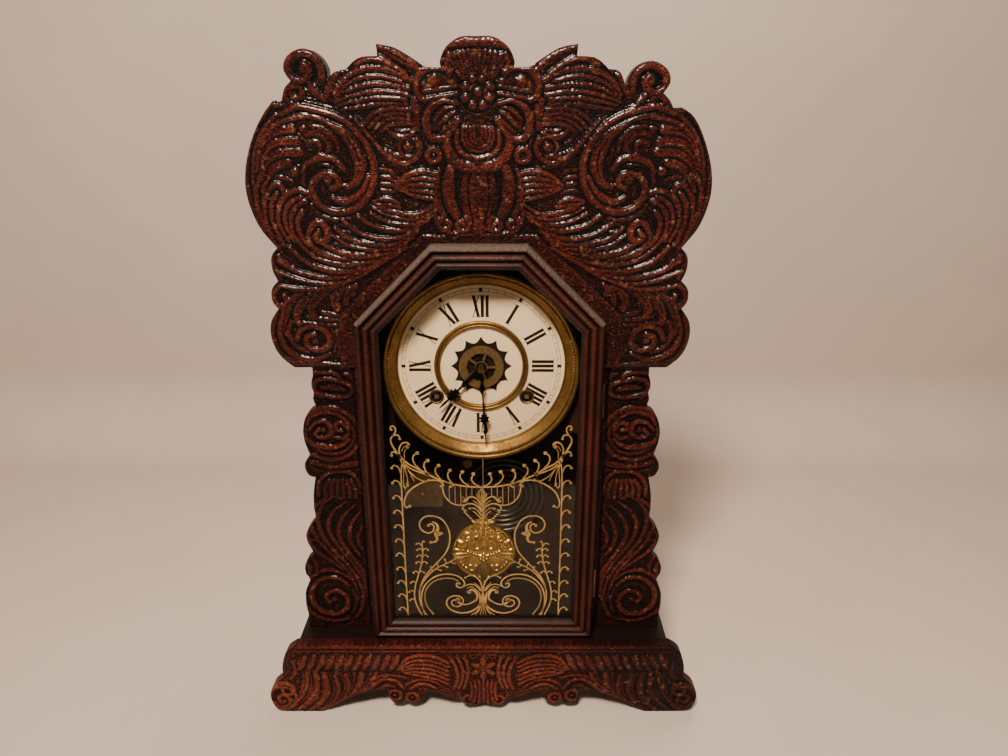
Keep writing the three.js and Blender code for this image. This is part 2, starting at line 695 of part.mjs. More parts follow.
// A mitred length of the profile between two corners of the outline.
function mitredRail(from, to) {
  const rings = [from, to].map((corner, end) =>
    railProfile.map(([inset, depth]) => {
      const corners = doorCorners(inset);
      const here = new THREE.Vector2(...corners[corner]);
      const other = new THREE.Vector2(...corners[end ? from : to]);
      const inwards = other.clone().sub(here).normalize().multiplyScalar(GAP / 2);
      here.add(inwards);
      return [here.x, yDoorFront + depth, here.y];
    }),
  );
  return loft(rings, false);
}

// Skins a list of rings that all have as many points. A closed loft joins the last ring to the first.
function loft(rings, closed) {
  const n = rings[0].length;
  const index = [];
  const spans = closed ? rings.length : rings.length - 1;
  for (let r = 0; r < spans; r++) {
    const a = r * n;
    const b = ((r + 1) % rings.length) * n;
    for (let i = 0; i < n; i++) {
      const j = (i + 1) % n;
      index.push(a + i, b + i, b + j, a + i, b + j, a + j);
    }
  }
  if (!closed) {
    const flat = flatten(rings[0]);
    const last = (rings.length - 1) * n;
    for (const [i, j, k] of THREE.ShapeUtils.triangulateShape(flat, [])) {
      index.push(i, j, k);
      index.push(last + k, last + j, last + i);
    }
  }
  const geometry = new THREE.BufferGeometry();
  geometry.setAttribute("position", new THREE.Float32BufferAttribute(rings.flat(2), 3));
  geometry.setIndex(index);
  return outwards(geometry);
}

// Points of a flat ring in its own plane, for filling its end.
function flatten(ring) {
  const points = ring.map((p) => new THREE.Vector3(...p));
  const normal = new THREE.Vector3();
  for (let i = 0; i < points.length; i++) {
    normal.add(points[i].clone().cross(points[(i + 1) % points.length]));
  }
  normal.normalize();
  const u = Math.abs(normal.y) > 0.9 ? new THREE.Vector3(1, 0, 0) : new THREE.Vector3(0, 1, 0);
  u.addScaledVector(normal, -u.dot(normal)).normalize();
  const v = normal.clone().cross(u);
  return points.map((p) => new THREE.Vector2(p.dot(u), p.dot(v)));
}

[
  ["door_bottom_rail", 0, 1],
  ["door_right_stile", 1, 2],
  ["door_right_slant_rail", 2, 3],
  ["door_top_rail", 3, 4],
  ["door_left_slant_rail", 4, 5],
  ["door_left_stile", 5, 0],
].forEach(([name, from, to]) => add(name, mitredRail(from, to), oak));

const glassInset = DOOR_RAIL_WIDTH - RABBET_WIDTH + GAP;
add("door_glass", plate(polygon(doorCorners(glassInset)), yGlassFront, GLASS_THICKNESS), glass);

// A three-sided bead of putty holds the glass in its rabbet.
const yBead = yGlassFront + GLASS_THICKNESS + GAP;
const beadProfile = [
  [glassInset, 0],
  [glassInset + RABBET_WIDTH - 1, 0],
  [glassInset, BEAD_DEPTH],
];
const beadRings = doorCorners(0).map((_, corner) =>
  beadProfile.map(([inset, depth]) => {
    const [x, z] = doorCorners(inset)[corner];
    return [x, yBead + depth, z];
  }),
);
add("glass_bead", loft(beadRings, true), putty);

// ---------------------------------------------------------------- door hinges and catch

const hingeAxis = {
  x: DOOR_HALF_WIDTH + GAP + KNUCKLE_RADIUS,
  y: yUprightFront - GAP - KNUCKLE_RADIUS,
};

// A knuckle round the pin's line, with its leaf. With the door shut, the two leaves of a hinge lie folded
// together between the back of the stile and the front of the upright.
function hingeLeaf(z0, z1, yLeaf, pinTo) {
  const { x, y } = hingeAxis;
  const knuckle = new THREE.CylinderGeometry(KNUCKLE_RADIUS, KNUCKLE_RADIUS, z1 - z0, 12);
  const parts = [
    knuckle.rotateX(Math.PI / 2).translate(x, y, (z0 + z1) / 2),
    box(x - HINGE_LEAF_WIDTH, x, yLeaf, yLeaf + HINGE_LEAF, z0, z1),
  ];
  if (pinTo !== undefined) {
    const pin = new THREE.CylinderGeometry(KNUCKLE_RADIUS * 0.45, KNUCKLE_RADIUS * 0.45, pinTo - z0, 8);
    parts.push(pin.rotateX(Math.PI / 2).translate(x, y, (z0 + pinTo) / 2));
  }
  return parts;
}

const yCaseLeaf = yUprightFront - GAP - HINGE_LEAF;
const yDoorLeaf = yDoorBack + GAP;
for (const [i, height] of HINGE_HEIGHTS.entries()) {
  const name = ["upper", "lower"][i];
  const middle = height + HINGE_LENGTH / 2;
  const top = height + HINGE_LENGTH;
  const bore = new THREE.CylinderGeometry(KNUCKLE_RADIUS * 0.72, KNUCKLE_RADIUS * 0.72, HINGE_LENGTH, 12);
  bore.rotateX(Math.PI / 2).translate(hingeAxis.x, hingeAxis.y, middle + HINGE_LENGTH / 2);
  add(`${name}_hinge_case_leaf`, join(hingeLeaf(height, middle - GAP, yCaseLeaf, top - 2)), oldBrass);
  add(`${name}_hinge_door_leaf`, join(hingeLeaf(middle, top, yDoorLeaf), [bore]), oldBrass);
}

// A bent brass spring on the edge of the opening presses on the back of the left stile.
const catchX = -OPENING_HALF_WIDTH + GAP;
const CATCH_SHEET = 0.6;
const catchShape = polygon([
  [catchX, yBoardBack],
  [catchX, yCrestFront],
  [catchX + 2.5, yDoorBack + GAP],
  [catchX + 2.5 + CATCH_SHEET, yDoorBack + GAP],
  [catchX + CATCH_SHEET, yCrestFront + 1],
  [catchX + CATCH_SHEET, yBoardBack],
]);
const catchGeometry = new THREE.ExtrudeGeometry(catchShape, { depth: CATCH_WIDTH, bevelEnabled: false });
add("door_catch_spring", catchGeometry.translate(0, 0, FINGER_NOTCH_HEIGHT - CATCH_WIDTH / 2), oldBrass);

// ---------------------------------------------------------------- dial

const windingHoles = [timeArbor, strikeArbor].map((at) => ({ x: at.x, z: at.z - DIAL_HEIGHT }));

function dialDisc(radius, segments, yFront, thickness) {
  const cuts = [hole(DIAL_CENTRE_HOLE, yFront - 1, yFront + thickness + 1, 24)];
  for (const at of windingHoles) {
    cuts.push(hole(WINDING_HOLE, yFront - 1, yFront + thickness + 1, 12, at.x, at.z));
  }
  return join([bar(radius, yFront, yFront + thickness, segments)], cuts);
}
add("dial_plate", dialDisc(BEZEL_RADIUS, 36, yDialPlate, DIAL_PLATE_THICKNESS), zinc, centre);
add("dial_paper", dialDisc(PAPER_RADIUS, 36, yPaper, PAPER_THICKNESS), paper, centre);

// Pressed sheet-brass surround: it rises outwards from the paper to a rolled rim.
const yBezelSeat = yPaper - GAP;
const bezelFace = [
  [BEZEL_RADIUS - 12.8, 0],
  [BEZEL_RADIUS - 11.6, -1.8],
  [BEZEL_RADIUS - 9, -3],
  [BEZEL_RADIUS - 7, -3],
  [BEZEL_RADIUS - 4.6, -5.6],
  [BEZEL_RADIUS - 2.6, -BEZEL_DEPTH + 0.8],
  [BEZEL_RADIUS - 1.2, -BEZEL_DEPTH],
  [BEZEL_RADIUS, -BEZEL_DEPTH + 1.4],
];
const bezelBack = [
  [BEZEL_RADIUS, yDialPlate - GAP - yBezelSeat],
  [BEZEL_RADIUS - BEZEL_SHEET, yDialPlate - GAP - yBezelSeat],
  [BEZEL_RADIUS - BEZEL_SHEET, -BEZEL_DEPTH + 2],
  [BEZEL_RADIUS - 2.4, -BEZEL_DEPTH + 2.2],
  [BEZEL_RADIUS - 6.4, -3 + BEZEL_SHEET],
  [BEZEL_RADIUS - 11, -1.8 + BEZEL_SHEET],
  [BEZEL_RADIUS - 11.8, 0],
];
const bezelProfile = [...bezelFace, ...bezelBack].map(([r, y]) => [r, yBezelSeat + y]);
add("dial_bezel", turned(bezelProfile, 24), brass, centre);

const ringInner = CENTRE_RING_RADIUS - CENTRE_RING_WIDTH;
const ringMiddle = CENTRE_RING_RADIUS - CENTRE_RING_WIDTH / 2;
const ringProfile = [
  [ringInner, 0],
  [ringInner + 0.4, -CENTRE_RING_HEIGHT * 0.75],
  [ringMiddle - 1, -CENTRE_RING_HEIGHT],
  [ringMiddle, -CENTRE_RING_HEIGHT * 0.7],
  [ringMiddle + 1, -CENTRE_RING_HEIGHT],
  [CENTRE_RING_RADIUS - 0.4, -CENTRE_RING_HEIGHT * 0.75],
  [CENTRE_RING_RADIUS, 0],
].map(([r, y]) => [r, yPaper - GAP + y]);
add("dial_centre_ring", turned(ringProfile, 24), brass, centre);

// ---------------------------------------------------------------- hands and alarm disc

// A hand's outline from stations of [distance from the arbor, half-width], pointing up.
function handShape(stations) {
  const right = stations.map(([z, half]) => [half, z]);
  const left = stations.map(([z, half]) => [-half, z]).reverse();
  return polygon([...right, ...left]);
}

// Pierced cross pattern of the hands, drawn about its own middle for a half-width of 1.
const crossPattern = [
  [-1, 0.16],
  [-0.95, 0.6],
  [-0.5, 0.45],
  [-0.45, 1],
  [0.1, 0.62],
  [0.45, 0.95],
  [0.6, 0.35],
  [1, 0.5],
  [1.05, 0.14],
];

function hand(stations, boreRadius, y, hubRadius) {
  const disc = bar(hubRadius, y, y + HAND_THICKNESS, 20);
  const blade = plate(handShape(stations), y, HAND_THICKNESS);
  return join([blade, disc], [hole(boreRadius, y - 1, y + HAND_THICKNESS + 1, 16)]);
}

const minuteCross = MINUTE_HAND_LENGTH * 0.64;
const MINUTE_CROSS_SIZE = 4.6;
const minuteStations = [
  [2, 1.5],
  [12, 1],
  [16, 2.1],
  [18.5, 0.7],
  ...crossPattern.map(([z, half]) => [minuteCross + z * MINUTE_CROSS_SIZE, half * MINUTE_CROSS_SIZE]),
  [MINUTE_HAND_LENGTH - 16, 0.7],
  [MINUTE_HAND_LENGTH - 14, 1.9],
  [MINUTE_HAND_LENGTH - 11.5, 0.6],
  [MINUTE_HAND_LENGTH, 0.25],
];
const hourCross = HOUR_HAND_LENGTH * 0.66;
const HOUR_CROSS_SIZE = 5.6;
const hourStations = [
  [3, 2.2],
  [16, 1.6],
  [20, 2.6],
  [23.5, 0.9],
  ...crossPattern.map(([z, half]) => [hourCross + z * HOUR_CROSS_SIZE, half * HOUR_CROSS_SIZE]),
  [HOUR_HAND_LENGTH - 6, 1.1],
  [HOUR_HAND_LENGTH, 0.3],
];
const minuteAngle = MINUTES_SHOWN / 60;
const hourAngle = (HOURS_SHOWN + minuteAngle) / 12;
const boreOnArbor = CENTRE_ARBOR_RADIUS + RUNNING;
const boreOnPipe = HOUR_PIPE_RADIUS + GAP;

const minuteHand = add("minute_hand", hand(minuteStations, CENTRE_ARBOR_RADIUS + GAP, yMinuteHand, 3), blackSteel, centre);
minuteHand.rotation.y = minuteAngle * 2 * Math.PI;
const hourHand = add("hour_hand", hand(hourStations, boreOnPipe, yHourHand, 4.6), blackSteel, centre);
hourHand.rotation.y = hourAngle * 2 * Math.PI;
const nut = join([bar(3, yMinuteHand - GAP - 1.6, yMinuteHand - GAP, 16)], [
  hole(CENTRE_ARBOR_RADIUS + GAP, yMinuteHand - 4, yMinuteHand, 16),
]);
add("hand_nut", nut, brass, centre);

// The alarm disc: a flat rim on five spokes, held by friction on the hour pipe.
function crossedDisc(outline, y, thickness, rimInner, hubRadius, bore, spokes, spokeHalf, arc = 3) {
  const shape = polygon(outline);
  for (let s = 0; s < spokes; s++) {
    const start = (s / spokes) * 2 * Math.PI;
    const step = (2 * Math.PI) / spokes;
    const points = [];
    for (const [radius, way] of [[rimInner, 1], [hubRadius, -1]]) {
      const edge = Math.asin(spokeHalf / radius);
      for (let i = 0; i < arc; i++) {
        const share = way > 0 ? i / (arc - 1) : 1 - i / (arc - 1);
        const t = start + edge + (step - 2 * edge) * share;
        points.push(new THREE.Vector2(radius * Math.cos(t), radius * Math.sin(t)));
      }
    }
    shape.holes.push(new THREE.Path(points));
  }
  return join([plate(shape, y, thickness)], [hole(bore, y - 1, y + thickness + 1)]);
}

const circle = (radius, n) =>
  Array.from({ length: n }, (_, i) => [
    radius * Math.cos((i / n) * 2 * Math.PI),
    radius * Math.sin((i / n) * 2 * Math.PI),
  ]);
const alarmDisc = crossedDisc(
  circle(ALARM_DISC_RADIUS, 36), yAlarmDisc, 0.8, ALARM_DISC_RADIUS - ALARM_DISC_RIM, 5.6, boreOnPipe, 5, 1,
);
add("alarm_disc", alarmDisc, oldBrass, centre);

// ---------------------------------------------------------------- movement: plates

const plateCorner = 12;
const plateTopHalf = PLATE_HALF_WIDTH - 8;
const plateShape = () =>
  polygon([
    [-PLATE_HALF_WIDTH, PLATE_BOTTOM + plateCorner],
    [-PLATE_HALF_WIDTH + plateCorner, PLATE_BOTTOM],
    [PLATE_HALF_WIDTH - plateCorner, PLATE_BOTTOM],
    [PLATE_HALF_WIDTH, PLATE_BOTTOM + plateCorner],
    [plateTopHalf, PLATE_TOP - plateCorner],
    [plateTopHalf - plateCorner, PLATE_TOP],
    [-plateTopHalf + plateCorner, PLATE_TOP],
    [-plateTopHalf, PLATE_TOP - plateCorner],
  ]);

// A window near the top lightens each stamped plate.
const plateWindow = polygon([[-16, 366], [34, 362], [28, 381], [-20, 381]]);
const pillars = [
  { x: -PLATE_HALF_WIDTH + 7, z: PLATE_BOTTOM + 12 },
  { x: PLATE_HALF_WIDTH - 7, z: PLATE_BOTTOM + 12 },
  { x: -plateTopHalf + 7, z: PLATE_TOP - 14 },
  { x: plateTopHalf - 7, z: PLATE_TOP - 14 },
];

// Pitch geometry of the trains.
const MAIN = { teeth: 48, module: 1 };
const SECOND = { teeth: 42, module: 0.85 };
const CENTRE = { teeth: 56, module: 0.68 };
const THIRD = { teeth: 48, module: 0.8 };
const STRIKE_SECOND = { teeth: 42, module: 0.7 };
const STRIKE_THIRD = { teeth: 40, module: 0.6 };
const LEAVES = 8;
const CANNON_LEAVES = 12;
const MINUTE_WHEEL_TEETH = 36;
const MINUTE_PINION_LEAVES = 12;
const HOUR_WHEEL_TEETH = 48;
const MOTION_MODULE = 0.6;
const ESCAPE_TEETH = 36;
const ESCAPE_RADIUS = 12;

const radiusOf = (wheel) => (wheel.teeth * wheel.module) / 2;
const distance = (wheel, leaves = LEAVES) => ((wheel.teeth + leaves) * wheel.module) / 2;
const secondArbor = meshPoint(timeArbor, distance(MAIN), centre, distance(SECOND), -1);
const thirdArbor = meshPoint(centre, distance(CENTRE), escapeArbor, distance(THIRD), 1);
const strikeSecond = polar(strikeArbor, distance(MAIN), 97);
const strikeThird = polar(strikeSecond, distance(STRIKE_SECOND), 40);
const flyArbor = polar(strikeThird, distance(STRIKE_THIRD), 75);
const motionDistance = ((CANNON_LEAVES + MINUTE_WHEEL_TEETH) * MOTION_MODULE) / 2;
const hourModule = (2 * motionDistance) / (MINUTE_PINION_LEAVES + HOUR_WHEEL_TEETH);
const minuteArbor = polar(centre, motionDistance, 45);

// The gong's hammer hangs straight down from its arbor and rests just clear of the coil.
const HAMMER_HEAD = 4.5;
const gong = { x: GONG_X, z: GONG_HEIGHT };
const hammerHead = polar(gong, GONG_RADIUS + GONG_WIRE + HAMMER_HEAD + 1.2, 134);
const hammerArbor = { x: hammerHead.x, z: PLATE_BOTTOM + 13 };

const turningArbors = [
  [centre, CENTRE_ARBOR_RADIUS],
  [timeArbor, WINDING_ARBOR_RADIUS],
  [strikeArbor, WINDING_ARBOR_RADIUS],
  [secondArbor, ARBOR_RADIUS],
  [thirdArbor, ARBOR_RADIUS],
  [escapeArbor, ARBOR_RADIUS],
  [strikeSecond, ARBOR_RADIUS],
  [strikeThird, ARBOR_RADIUS],
  [flyArbor, ARBOR_RADIUS],
  [hammerArbor, ARBOR_RADIUS],
];

function pivotHoles(y0, y1) {
  return turningArbors.map(([at, radius]) => hole(radius + RUNNING, y0, y1, 6, at.x, at.z));
}

const yPostFront = yFrontPlate - 11;
const yPendulum = yPostFront + 3;
const postWidth = 5;
const frontPlateParts = [
  plate(plateShape(), yFrontPlate, PLATE_THICKNESS),
  // Suspension post, riveted to the plate, with the slot at its tip that grips the pendulum's spring.
  box(-postWidth / 2, postWidth / 2, yPostFront, yFrontPlate + 0.5, suspension.z, suspension.z + 6),
  // Studs for the verge and the minute wheel.
  bar(1, yFrontPlate - 6, yFrontPlate + 0.5, 10, vergePivot.x, vergePivot.z),
  bar(1, yFrontPlate - 6.5, yFrontPlate + 0.5, 10, minuteArbor.x, minuteArbor.z),
];
const SPRING_GRIP = 4; // depth of the slot that grips the suspension spring
const frontCuts = [
  box(-4, 4, yPendulum - 0.25 - GAP, yPendulum + 0.25 + GAP, suspension.z - 1, suspension.z + SPRING_GRIP + GAP),
  plate(plateWindow, yFrontPlate - 1, PLATE_THICKNESS + 2),
  ...pivotHoles(yFrontPlate - 1, yInside + 1),
];
add("movement_front_plate", join(frontPlateParts, frontCuts), oldBrass);

// The pillars are riveted to the back plate, and their feet reach the back board.
const backPlateParts = [plate(plateShape(), yInsideBack, PLATE_THICKNESS)];
for (const at of pillars) {
  backPlateParts.push(bar(PILLAR_RADIUS, yInside + GAP, yInsideBack + 0.5, 6, at.x, at.z));
  backPlateParts.push(bar(PILLAR_RADIUS, yBackPlateBack - 0.5, yBackBoard - GAP, 6, at.x, at.z));
}
const backCuts = [
  plate(plateWindow, yInsideBack - 1, PLATE_THICKNESS + 2),
  ...pivotHoles(yInsideBack - 1, yBackPlateBack + 1),
];
add("movement_back_plate", join(backPlateParts, backCuts), oldBrass);

// ---------------------------------------------------------------- movement: wheels

// Tooth tips and roots in turn. phase is in tooth pitches.
function toothed(teeth, module, phase = 0) {
  const radius = (teeth * module) / 2;
  const points = [];
  for (let i = 0; i < teeth; i++) {
    for (const [r, half] of [[radius + 0.8 * module, 0], [radius - 1.5 * module, 0.5]]) {
      const t = ((i + half + phase) / teeth) * 2 * Math.PI;
      points.push([r * Math.cos(t), r * Math.sin(t)]);
    }
  }
  return points;
}

// Turns a pinion or wheel so that one of its roots faces a tooth tip of its partner, along the line from
// one centre to the other. The partner's own phase is given in its tooth pitches.
function meshedPhase(teeth, at, partner, partnerTeeth, partnerPhase) {
  const towards = Math.atan2(partner.z - at.z, partner.x - at.x);
  const back = towards + Math.PI;
  const partnerPitch = (2 * Math.PI) / partnerTeeth;
  const offset = (back - partnerPhase * partnerPitch) / partnerPitch;
  const share = offset - Math.floor(offset);
  return (towards / (2 * Math.PI)) * teeth - 0.5 + share;
}

function wheelGeometry(spec, phase, y, thickness, bore, spokes = 4) {
  const root = radiusOf(spec) - 1.5 * spec.module;
  return crossedDisc(toothed(spec.teeth, spec.module, phase), y, thickness, root - 2, 4.2, bore, spokes, 1.3);
}

function pinionGeometry(leaves, module, phase, y, length) {
  return plate(polygon(toothed(leaves, module, phase)), y, length);
}

// A wheel on its arbor with its pinion: one turning piece.
function arborPiece({ spec, wheelPhase, yWheel, leaves, module, pinionPhase, yPinion, radius, y0, y1, thickness }) {
  const parts = [
    bar(radius, y0, y1, 8),
    wheelGeometry(spec, wheelPhase, yWheel, thickness ?? WHEEL_THICKNESS, radius * 0.8),
    pinionGeometry(leaves, module, pinionPhase, yPinion, PINION_LENGTH),
  ];
  return join(parts);
}

const arborFront = yFrontPlate - 0.5;
const arborBack = yBackPlateBack + 0.5;
const yMain = yInside + 21;
const ySecond = yMain + MAIN_WHEEL_THICKNESS + 1.5;
const yThird = ySecond + WHEEL_THICKNESS + 0.8;
const yCentreWheel = yInside + 1.4;
const pinionBefore = (y) => y - (PINION_LENGTH - WHEEL_THICKNESS) / 2;

// Phases start at the main wheels and follow each mesh in turn.
const MAIN_PHASE = 0;
const secondPinionPhase = meshedPhase(LEAVES, secondArbor, timeArbor, MAIN.teeth, MAIN_PHASE);
const secondPhase = 0;
const centrePinionPhase = meshedPhase(LEAVES, centre, secondArbor, SECOND.teeth, secondPhase);
const centrePhase = 0;
const thirdPinionPhase = meshedPhase(LEAVES, thirdArbor, centre, CENTRE.teeth, centrePhase);
const thirdPhase = 0;
const escapePinionPhase = meshedPhase(LEAVES, escapeArbor, thirdArbor, THIRD.teeth, thirdPhase);
const strikePinionPhase = meshedPhase(LEAVES, strikeSecond, strikeArbor, MAIN.teeth, MAIN_PHASE);
const strikeThirdPinionPhase = meshedPhase(LEAVES, strikeThird, strikeSecond, STRIKE_SECOND.teeth, 0);
const flyPinionPhase = meshedPhase(LEAVES, flyArbor, strikeThird, STRIKE_THIRD.teeth, 0);

// Main wheels turn on their winding arbors and carry the click; the arbor carries the ratchet.
const RATCHET_RADIUS = 8.5;
const RATCHET_TEETH = 16;
function mainWheel() {
  const post = bar(1.1, yMain - 2.6, yMain + 0.4, 8, RATCHET_RADIUS + 2.6, 0);
  return join([wheelGeometry(MAIN, MAIN_PHASE, yMain, MAIN_WHEEL_THICKNESS, WINDING_ARBOR_RADIUS + RUNNING), post]);
}
function windingArbor() {
  const keyLength = yFrontPlate - yPaper + 0.6;
  const square = WINDING_ARBOR_RADIUS * 1.35;
  const ratchet = [];
  for (let i = 0; i < RATCHET_TEETH; i++) {
    const t = (i / RATCHET_TEETH) * 2 * Math.PI;
    ratchet.push([RATCHET_RADIUS * Math.cos(t), RATCHET_RADIUS * Math.sin(t)]);
    ratchet.push([(RATCHET_RADIUS - 1.4) * Math.cos(t), (RATCHET_RADIUS - 1.4) * Math.sin(t)]);
  }
  return join([
    bar(WINDING_ARBOR_RADIUS, yFrontPlate - 2, arborBack, 14),
    box(-square / 2, square / 2, yFrontPlate - keyLength, yFrontPlate - 1, -square / 2, square / 2),
    plate(polygon(ratchet), yMain - 2, 1.5),
    bar(WINDING_ARBOR_RADIUS + 1.4, yMain - 3 - SPRING_WIDTH, yMain - 1.5, 14),
  ]);
}

const SPRING_STEPS = 10; // sides drawn to each turn

// A mainspring: a flat steel strip wound from the arbor out, standing between the plates.
function mainspring(hand) {
  const inner = WINDING_ARBOR_RADIUS + 1.4 + GAP;
  const steps = SPRING_TURNS * SPRING_STEPS;
  const outside = [];
  const inside = [];
  for (let i = 0; i <= steps; i++) {
    const t = (i / SPRING_STEPS) * 2 * Math.PI * hand;
    const r = inner + ((SPRING_RADIUS - SPRING_STRIP - inner) * i) / steps;
    inside.push([r * Math.cos(t), r * Math.sin(t)]);
    outside.push([(r + SPRING_STRIP) * Math.cos(t), (r + SPRING_STRIP) * Math.sin(t)]);
  }
  const pitch = (SPRING_RADIUS - SPRING_STRIP - inner) / SPRING_TURNS;
  console.log(`mainspring: least gap between turns ${(pitch * Math.cos(Math.PI / SPRING_STEPS) - SPRING_STRIP).toFixed(2)} mm`);
  return plate(polygon([...outside, ...inside.reverse()]), yMain - 2.9 - SPRING_WIDTH, SPRING_WIDTH);
}

for (const [name, at, hand] of [["time", timeArbor, 1], ["strike", strikeArbor, -1]]) {
  add(`${name}_main_wheel`, mainWheel(), brass, at);
  add(`${name}_winding_arbor`, windingArbor(), steel, at);
  add(`${name}_mainspring`, mainspring(hand), steel, at);
}

add("time_second_wheel", arborPiece({
  spec: SECOND, wheelPhase: secondPhase, yWheel: ySecond, leaves: LEAVES, module: MAIN.module,
  pinionPhase: secondPinionPhase, yPinion: yMain - 0.4, radius: ARBOR_RADIUS, y0: arborFront, y1: arborBack,
}), brass, secondArbor);

// The centre arbor carries the cannon pinion and comes out through the dial to the minute hand.
const yMotion = yFrontPlate - 2.6;
const centreParts = [
  bar(CENTRE_ARBOR_RADIUS, yMinuteHand - 2.6, arborBack, 14),
  wheelGeometry(CENTRE, centrePhase, yCentreWheel, WHEEL_THICKNESS, CENTRE_ARBOR_RADIUS * 0.8),
  pinionGeometry(LEAVES, SECOND.module, centrePinionPhase, pinionBefore(ySecond), PINION_LENGTH),
  pinionGeometry(CANNON_LEAVES, MOTION_MODULE, 0, yMotion - 0.4, WHEEL_THICKNESS + 0.8),
];
add("centre_wheel", join(centreParts), brass, centre);

add("time_third_wheel", arborPiece({
  spec: THIRD, wheelPhase: thirdPhase, yWheel: yThird, leaves: LEAVES, module: CENTRE.module,
  pinionPhase: thirdPinionPhase, yPinion: pinionBefore(yCentreWheel), radius: ARBOR_RADIUS,
  y0: arborFront, y1: arborBack,
}), brass, thirdArbor);

// The escape wheel runs in front of the front plate, under the verge.
const yEscape = yFrontPlate - 2.6;
const escapePoints = [];
for (let i = 0; i < ESCAPE_TEETH; i++) {
  for (const [r, share] of [[ESCAPE_RADIUS, 0], [ESCAPE_RADIUS - 2.2, 0.15]]) {
    const t = ((i + share) / ESCAPE_TEETH) * 2 * Math.PI;
    escapePoints.push([r * Math.cos(t), r * Math.sin(t)]);
  }
}
const escapeParts = [
  bar(ARBOR_RADIUS, yEscape - 0.4, arborBack, 10),
  crossedDisc(escapePoints, yEscape, WHEEL_THICKNESS, ESCAPE_RADIUS - 3.8, 3.2, ARBOR_RADIUS * 0.8, 4, 0.9),
  pinionGeometry(LEAVES, THIRD.module, escapePinionPhase, pinionBefore(yThird), PINION_LENGTH),
];
add("escape_wheel", join(escapeParts), brass, escapeArbor);

// The verge: a bent strip of steel over the escape wheel, and the crutch wire that drives the pendulum.
const PALLET_CLEARANCE = 1.6; // open at every angle, so that the wheel can turn past a verge at rest
const yVerge = yEscape - 0.3;
const VERGE_STRIP = 1;
function verge() {
  const clear = ESCAPE_RADIUS + PALLET_CLEARANCE;
  const below = -VERGE_ABOVE_ESCAPE;
  const outer = [];
  const inner = [];
  for (const degrees of [35, 60, 90, 120, 145]) {
    const t = THREE.MathUtils.degToRad(degrees);
    inner.push([clear * Math.cos(t), below + clear * Math.sin(t)]);
    outer.push([(clear + VERGE_STRIP) * Math.cos(t), below + (clear + VERGE_STRIP) * Math.sin(t)]);
  }
  const strip = plate(polygon([...outer, ...inner.reverse()]), yVerge, WHEEL_THICKNESS + 0.6);
  const hub = bar(2.2, yVerge - 1.6, yVerge + WHEEL_THICKNESS + 0.6, 12);
  const yCrutch = yVerge - 1.2;
  const rodY = yPendulum;
  const side = PENDULUM_WIRE + RUNNING + 0.45;
  const loopZ = -CRUTCH_LENGTH;
  return join(
    [
      strip,
      hub,
      box(-1, 1, yVerge, yVerge + WHEEL_THICKNESS, below + clear + VERGE_STRIP * 0.5, -1.4),
      wire([1.7, yCrutch, 0], [2.6, yCrutch, loopZ + 6], 0.5),
      wire([2.6, yCrutch, loopZ + 6.2], [side, yCrutch, loopZ - 0.4], 0.5),
      wire([side, yCrutch + 0.45, loopZ], [side, rodY - side, loopZ], 0.5),
      wire([side + 0.4, rodY - side, loopZ], [-side - 0.4, rodY - side, loopZ], 0.5),
      wire([-side, rodY - side - 0.4, loopZ], [-side, rodY + side, loopZ], 0.5),
    ],
    [hole(1 + RUNNING, yVerge - 2, yVerge + WHEEL_THICKNESS + 2, 12)],
  );
}
add("verge", verge(), steel, vergePivot);

// ---------------------------------------------------------------- movement: motion work

const minuteWheelPhase = meshedPhase(MINUTE_WHEEL_TEETH, minuteArbor, centre, CANNON_LEAVES, 0);
const yHourWheel = yMotion - WHEEL_THICKNESS - 1;
const minuteWheel = join(
  [
    plate(polygon(toothed(MINUTE_WHEEL_TEETH, MOTION_MODULE, minuteWheelPhase)), yMotion, WHEEL_THICKNESS),
    pinionGeometry(MINUTE_PINION_LEAVES, hourModule, 0, yHourWheel - 0.5, yMotion - yHourWheel + 1),
  ],
  [hole(1 + RUNNING, yHourWheel - 2, yMotion + 3, 12)],
);
add("minute_wheel", minuteWheel, brass, minuteArbor);

const hourWheelPhase = meshedPhase(HOUR_WHEEL_TEETH, centre, minuteArbor, MINUTE_PINION_LEAVES, 0);
const hourPipe = bar(HOUR_PIPE_RADIUS, yHourHand - 0.8, yHourWheel + 0.5, 16);
const hourWheel = join(
  [
    plate(polygon(toothed(HOUR_WHEEL_TEETH, hourModule, hourWheelPhase)), yHourWheel, WHEEL_THICKNESS),
    hourPipe,
  ],
  [hole(boreOnArbor, yHourHand - 3, yHourWheel + 3, 16)],
);
add("hour_wheel", hourWheel, brass, centre);

// ---------------------------------------------------------------- movement: strike train

add("strike_second_wheel", arborPiece({
  spec: STRIKE_SECOND, wheelPhase: 0, yWheel: ySecond, leaves: LEAVES, module: MAIN.module,
  pinionPhase: strikePinionPhase, yPinion: yMain - 0.4, radius: ARBOR_RADIUS, y0: arborFront, y1: arborBack,
}), brass, strikeSecond);

const yStrikeThird = yInside + 5;
add("strike_third_wheel", arborPiece({
  spec: STRIKE_THIRD, wheelPhase: 0, yWheel: yStrikeThird, leaves: LEAVES, module: STRIKE_SECOND.module,
  pinionPhase: strikeThirdPinionPhase, yPinion: pinionBefore(ySecond), radius: ARBOR_RADIUS,
  y0: arborFront, y1: arborBack,
}), brass, strikeThird);

const FLY_HALF_WIDTH = 9;
const fly = join([
  bar(ARBOR_RADIUS, arborFront, arborBack, 12),
  pinionGeometry(LEAVES, STRIKE_THIRD.module, flyPinionPhase, pinionBefore(yStrikeThird), PINION_LENGTH),
  box(-FLY_HALF_WIDTH, FLY_HALF_WIDTH, yStrikeThird + 4, yInsideBack - 3, -0.4, 0.4),
]);
add("fly", fly, brass, flyArbor);

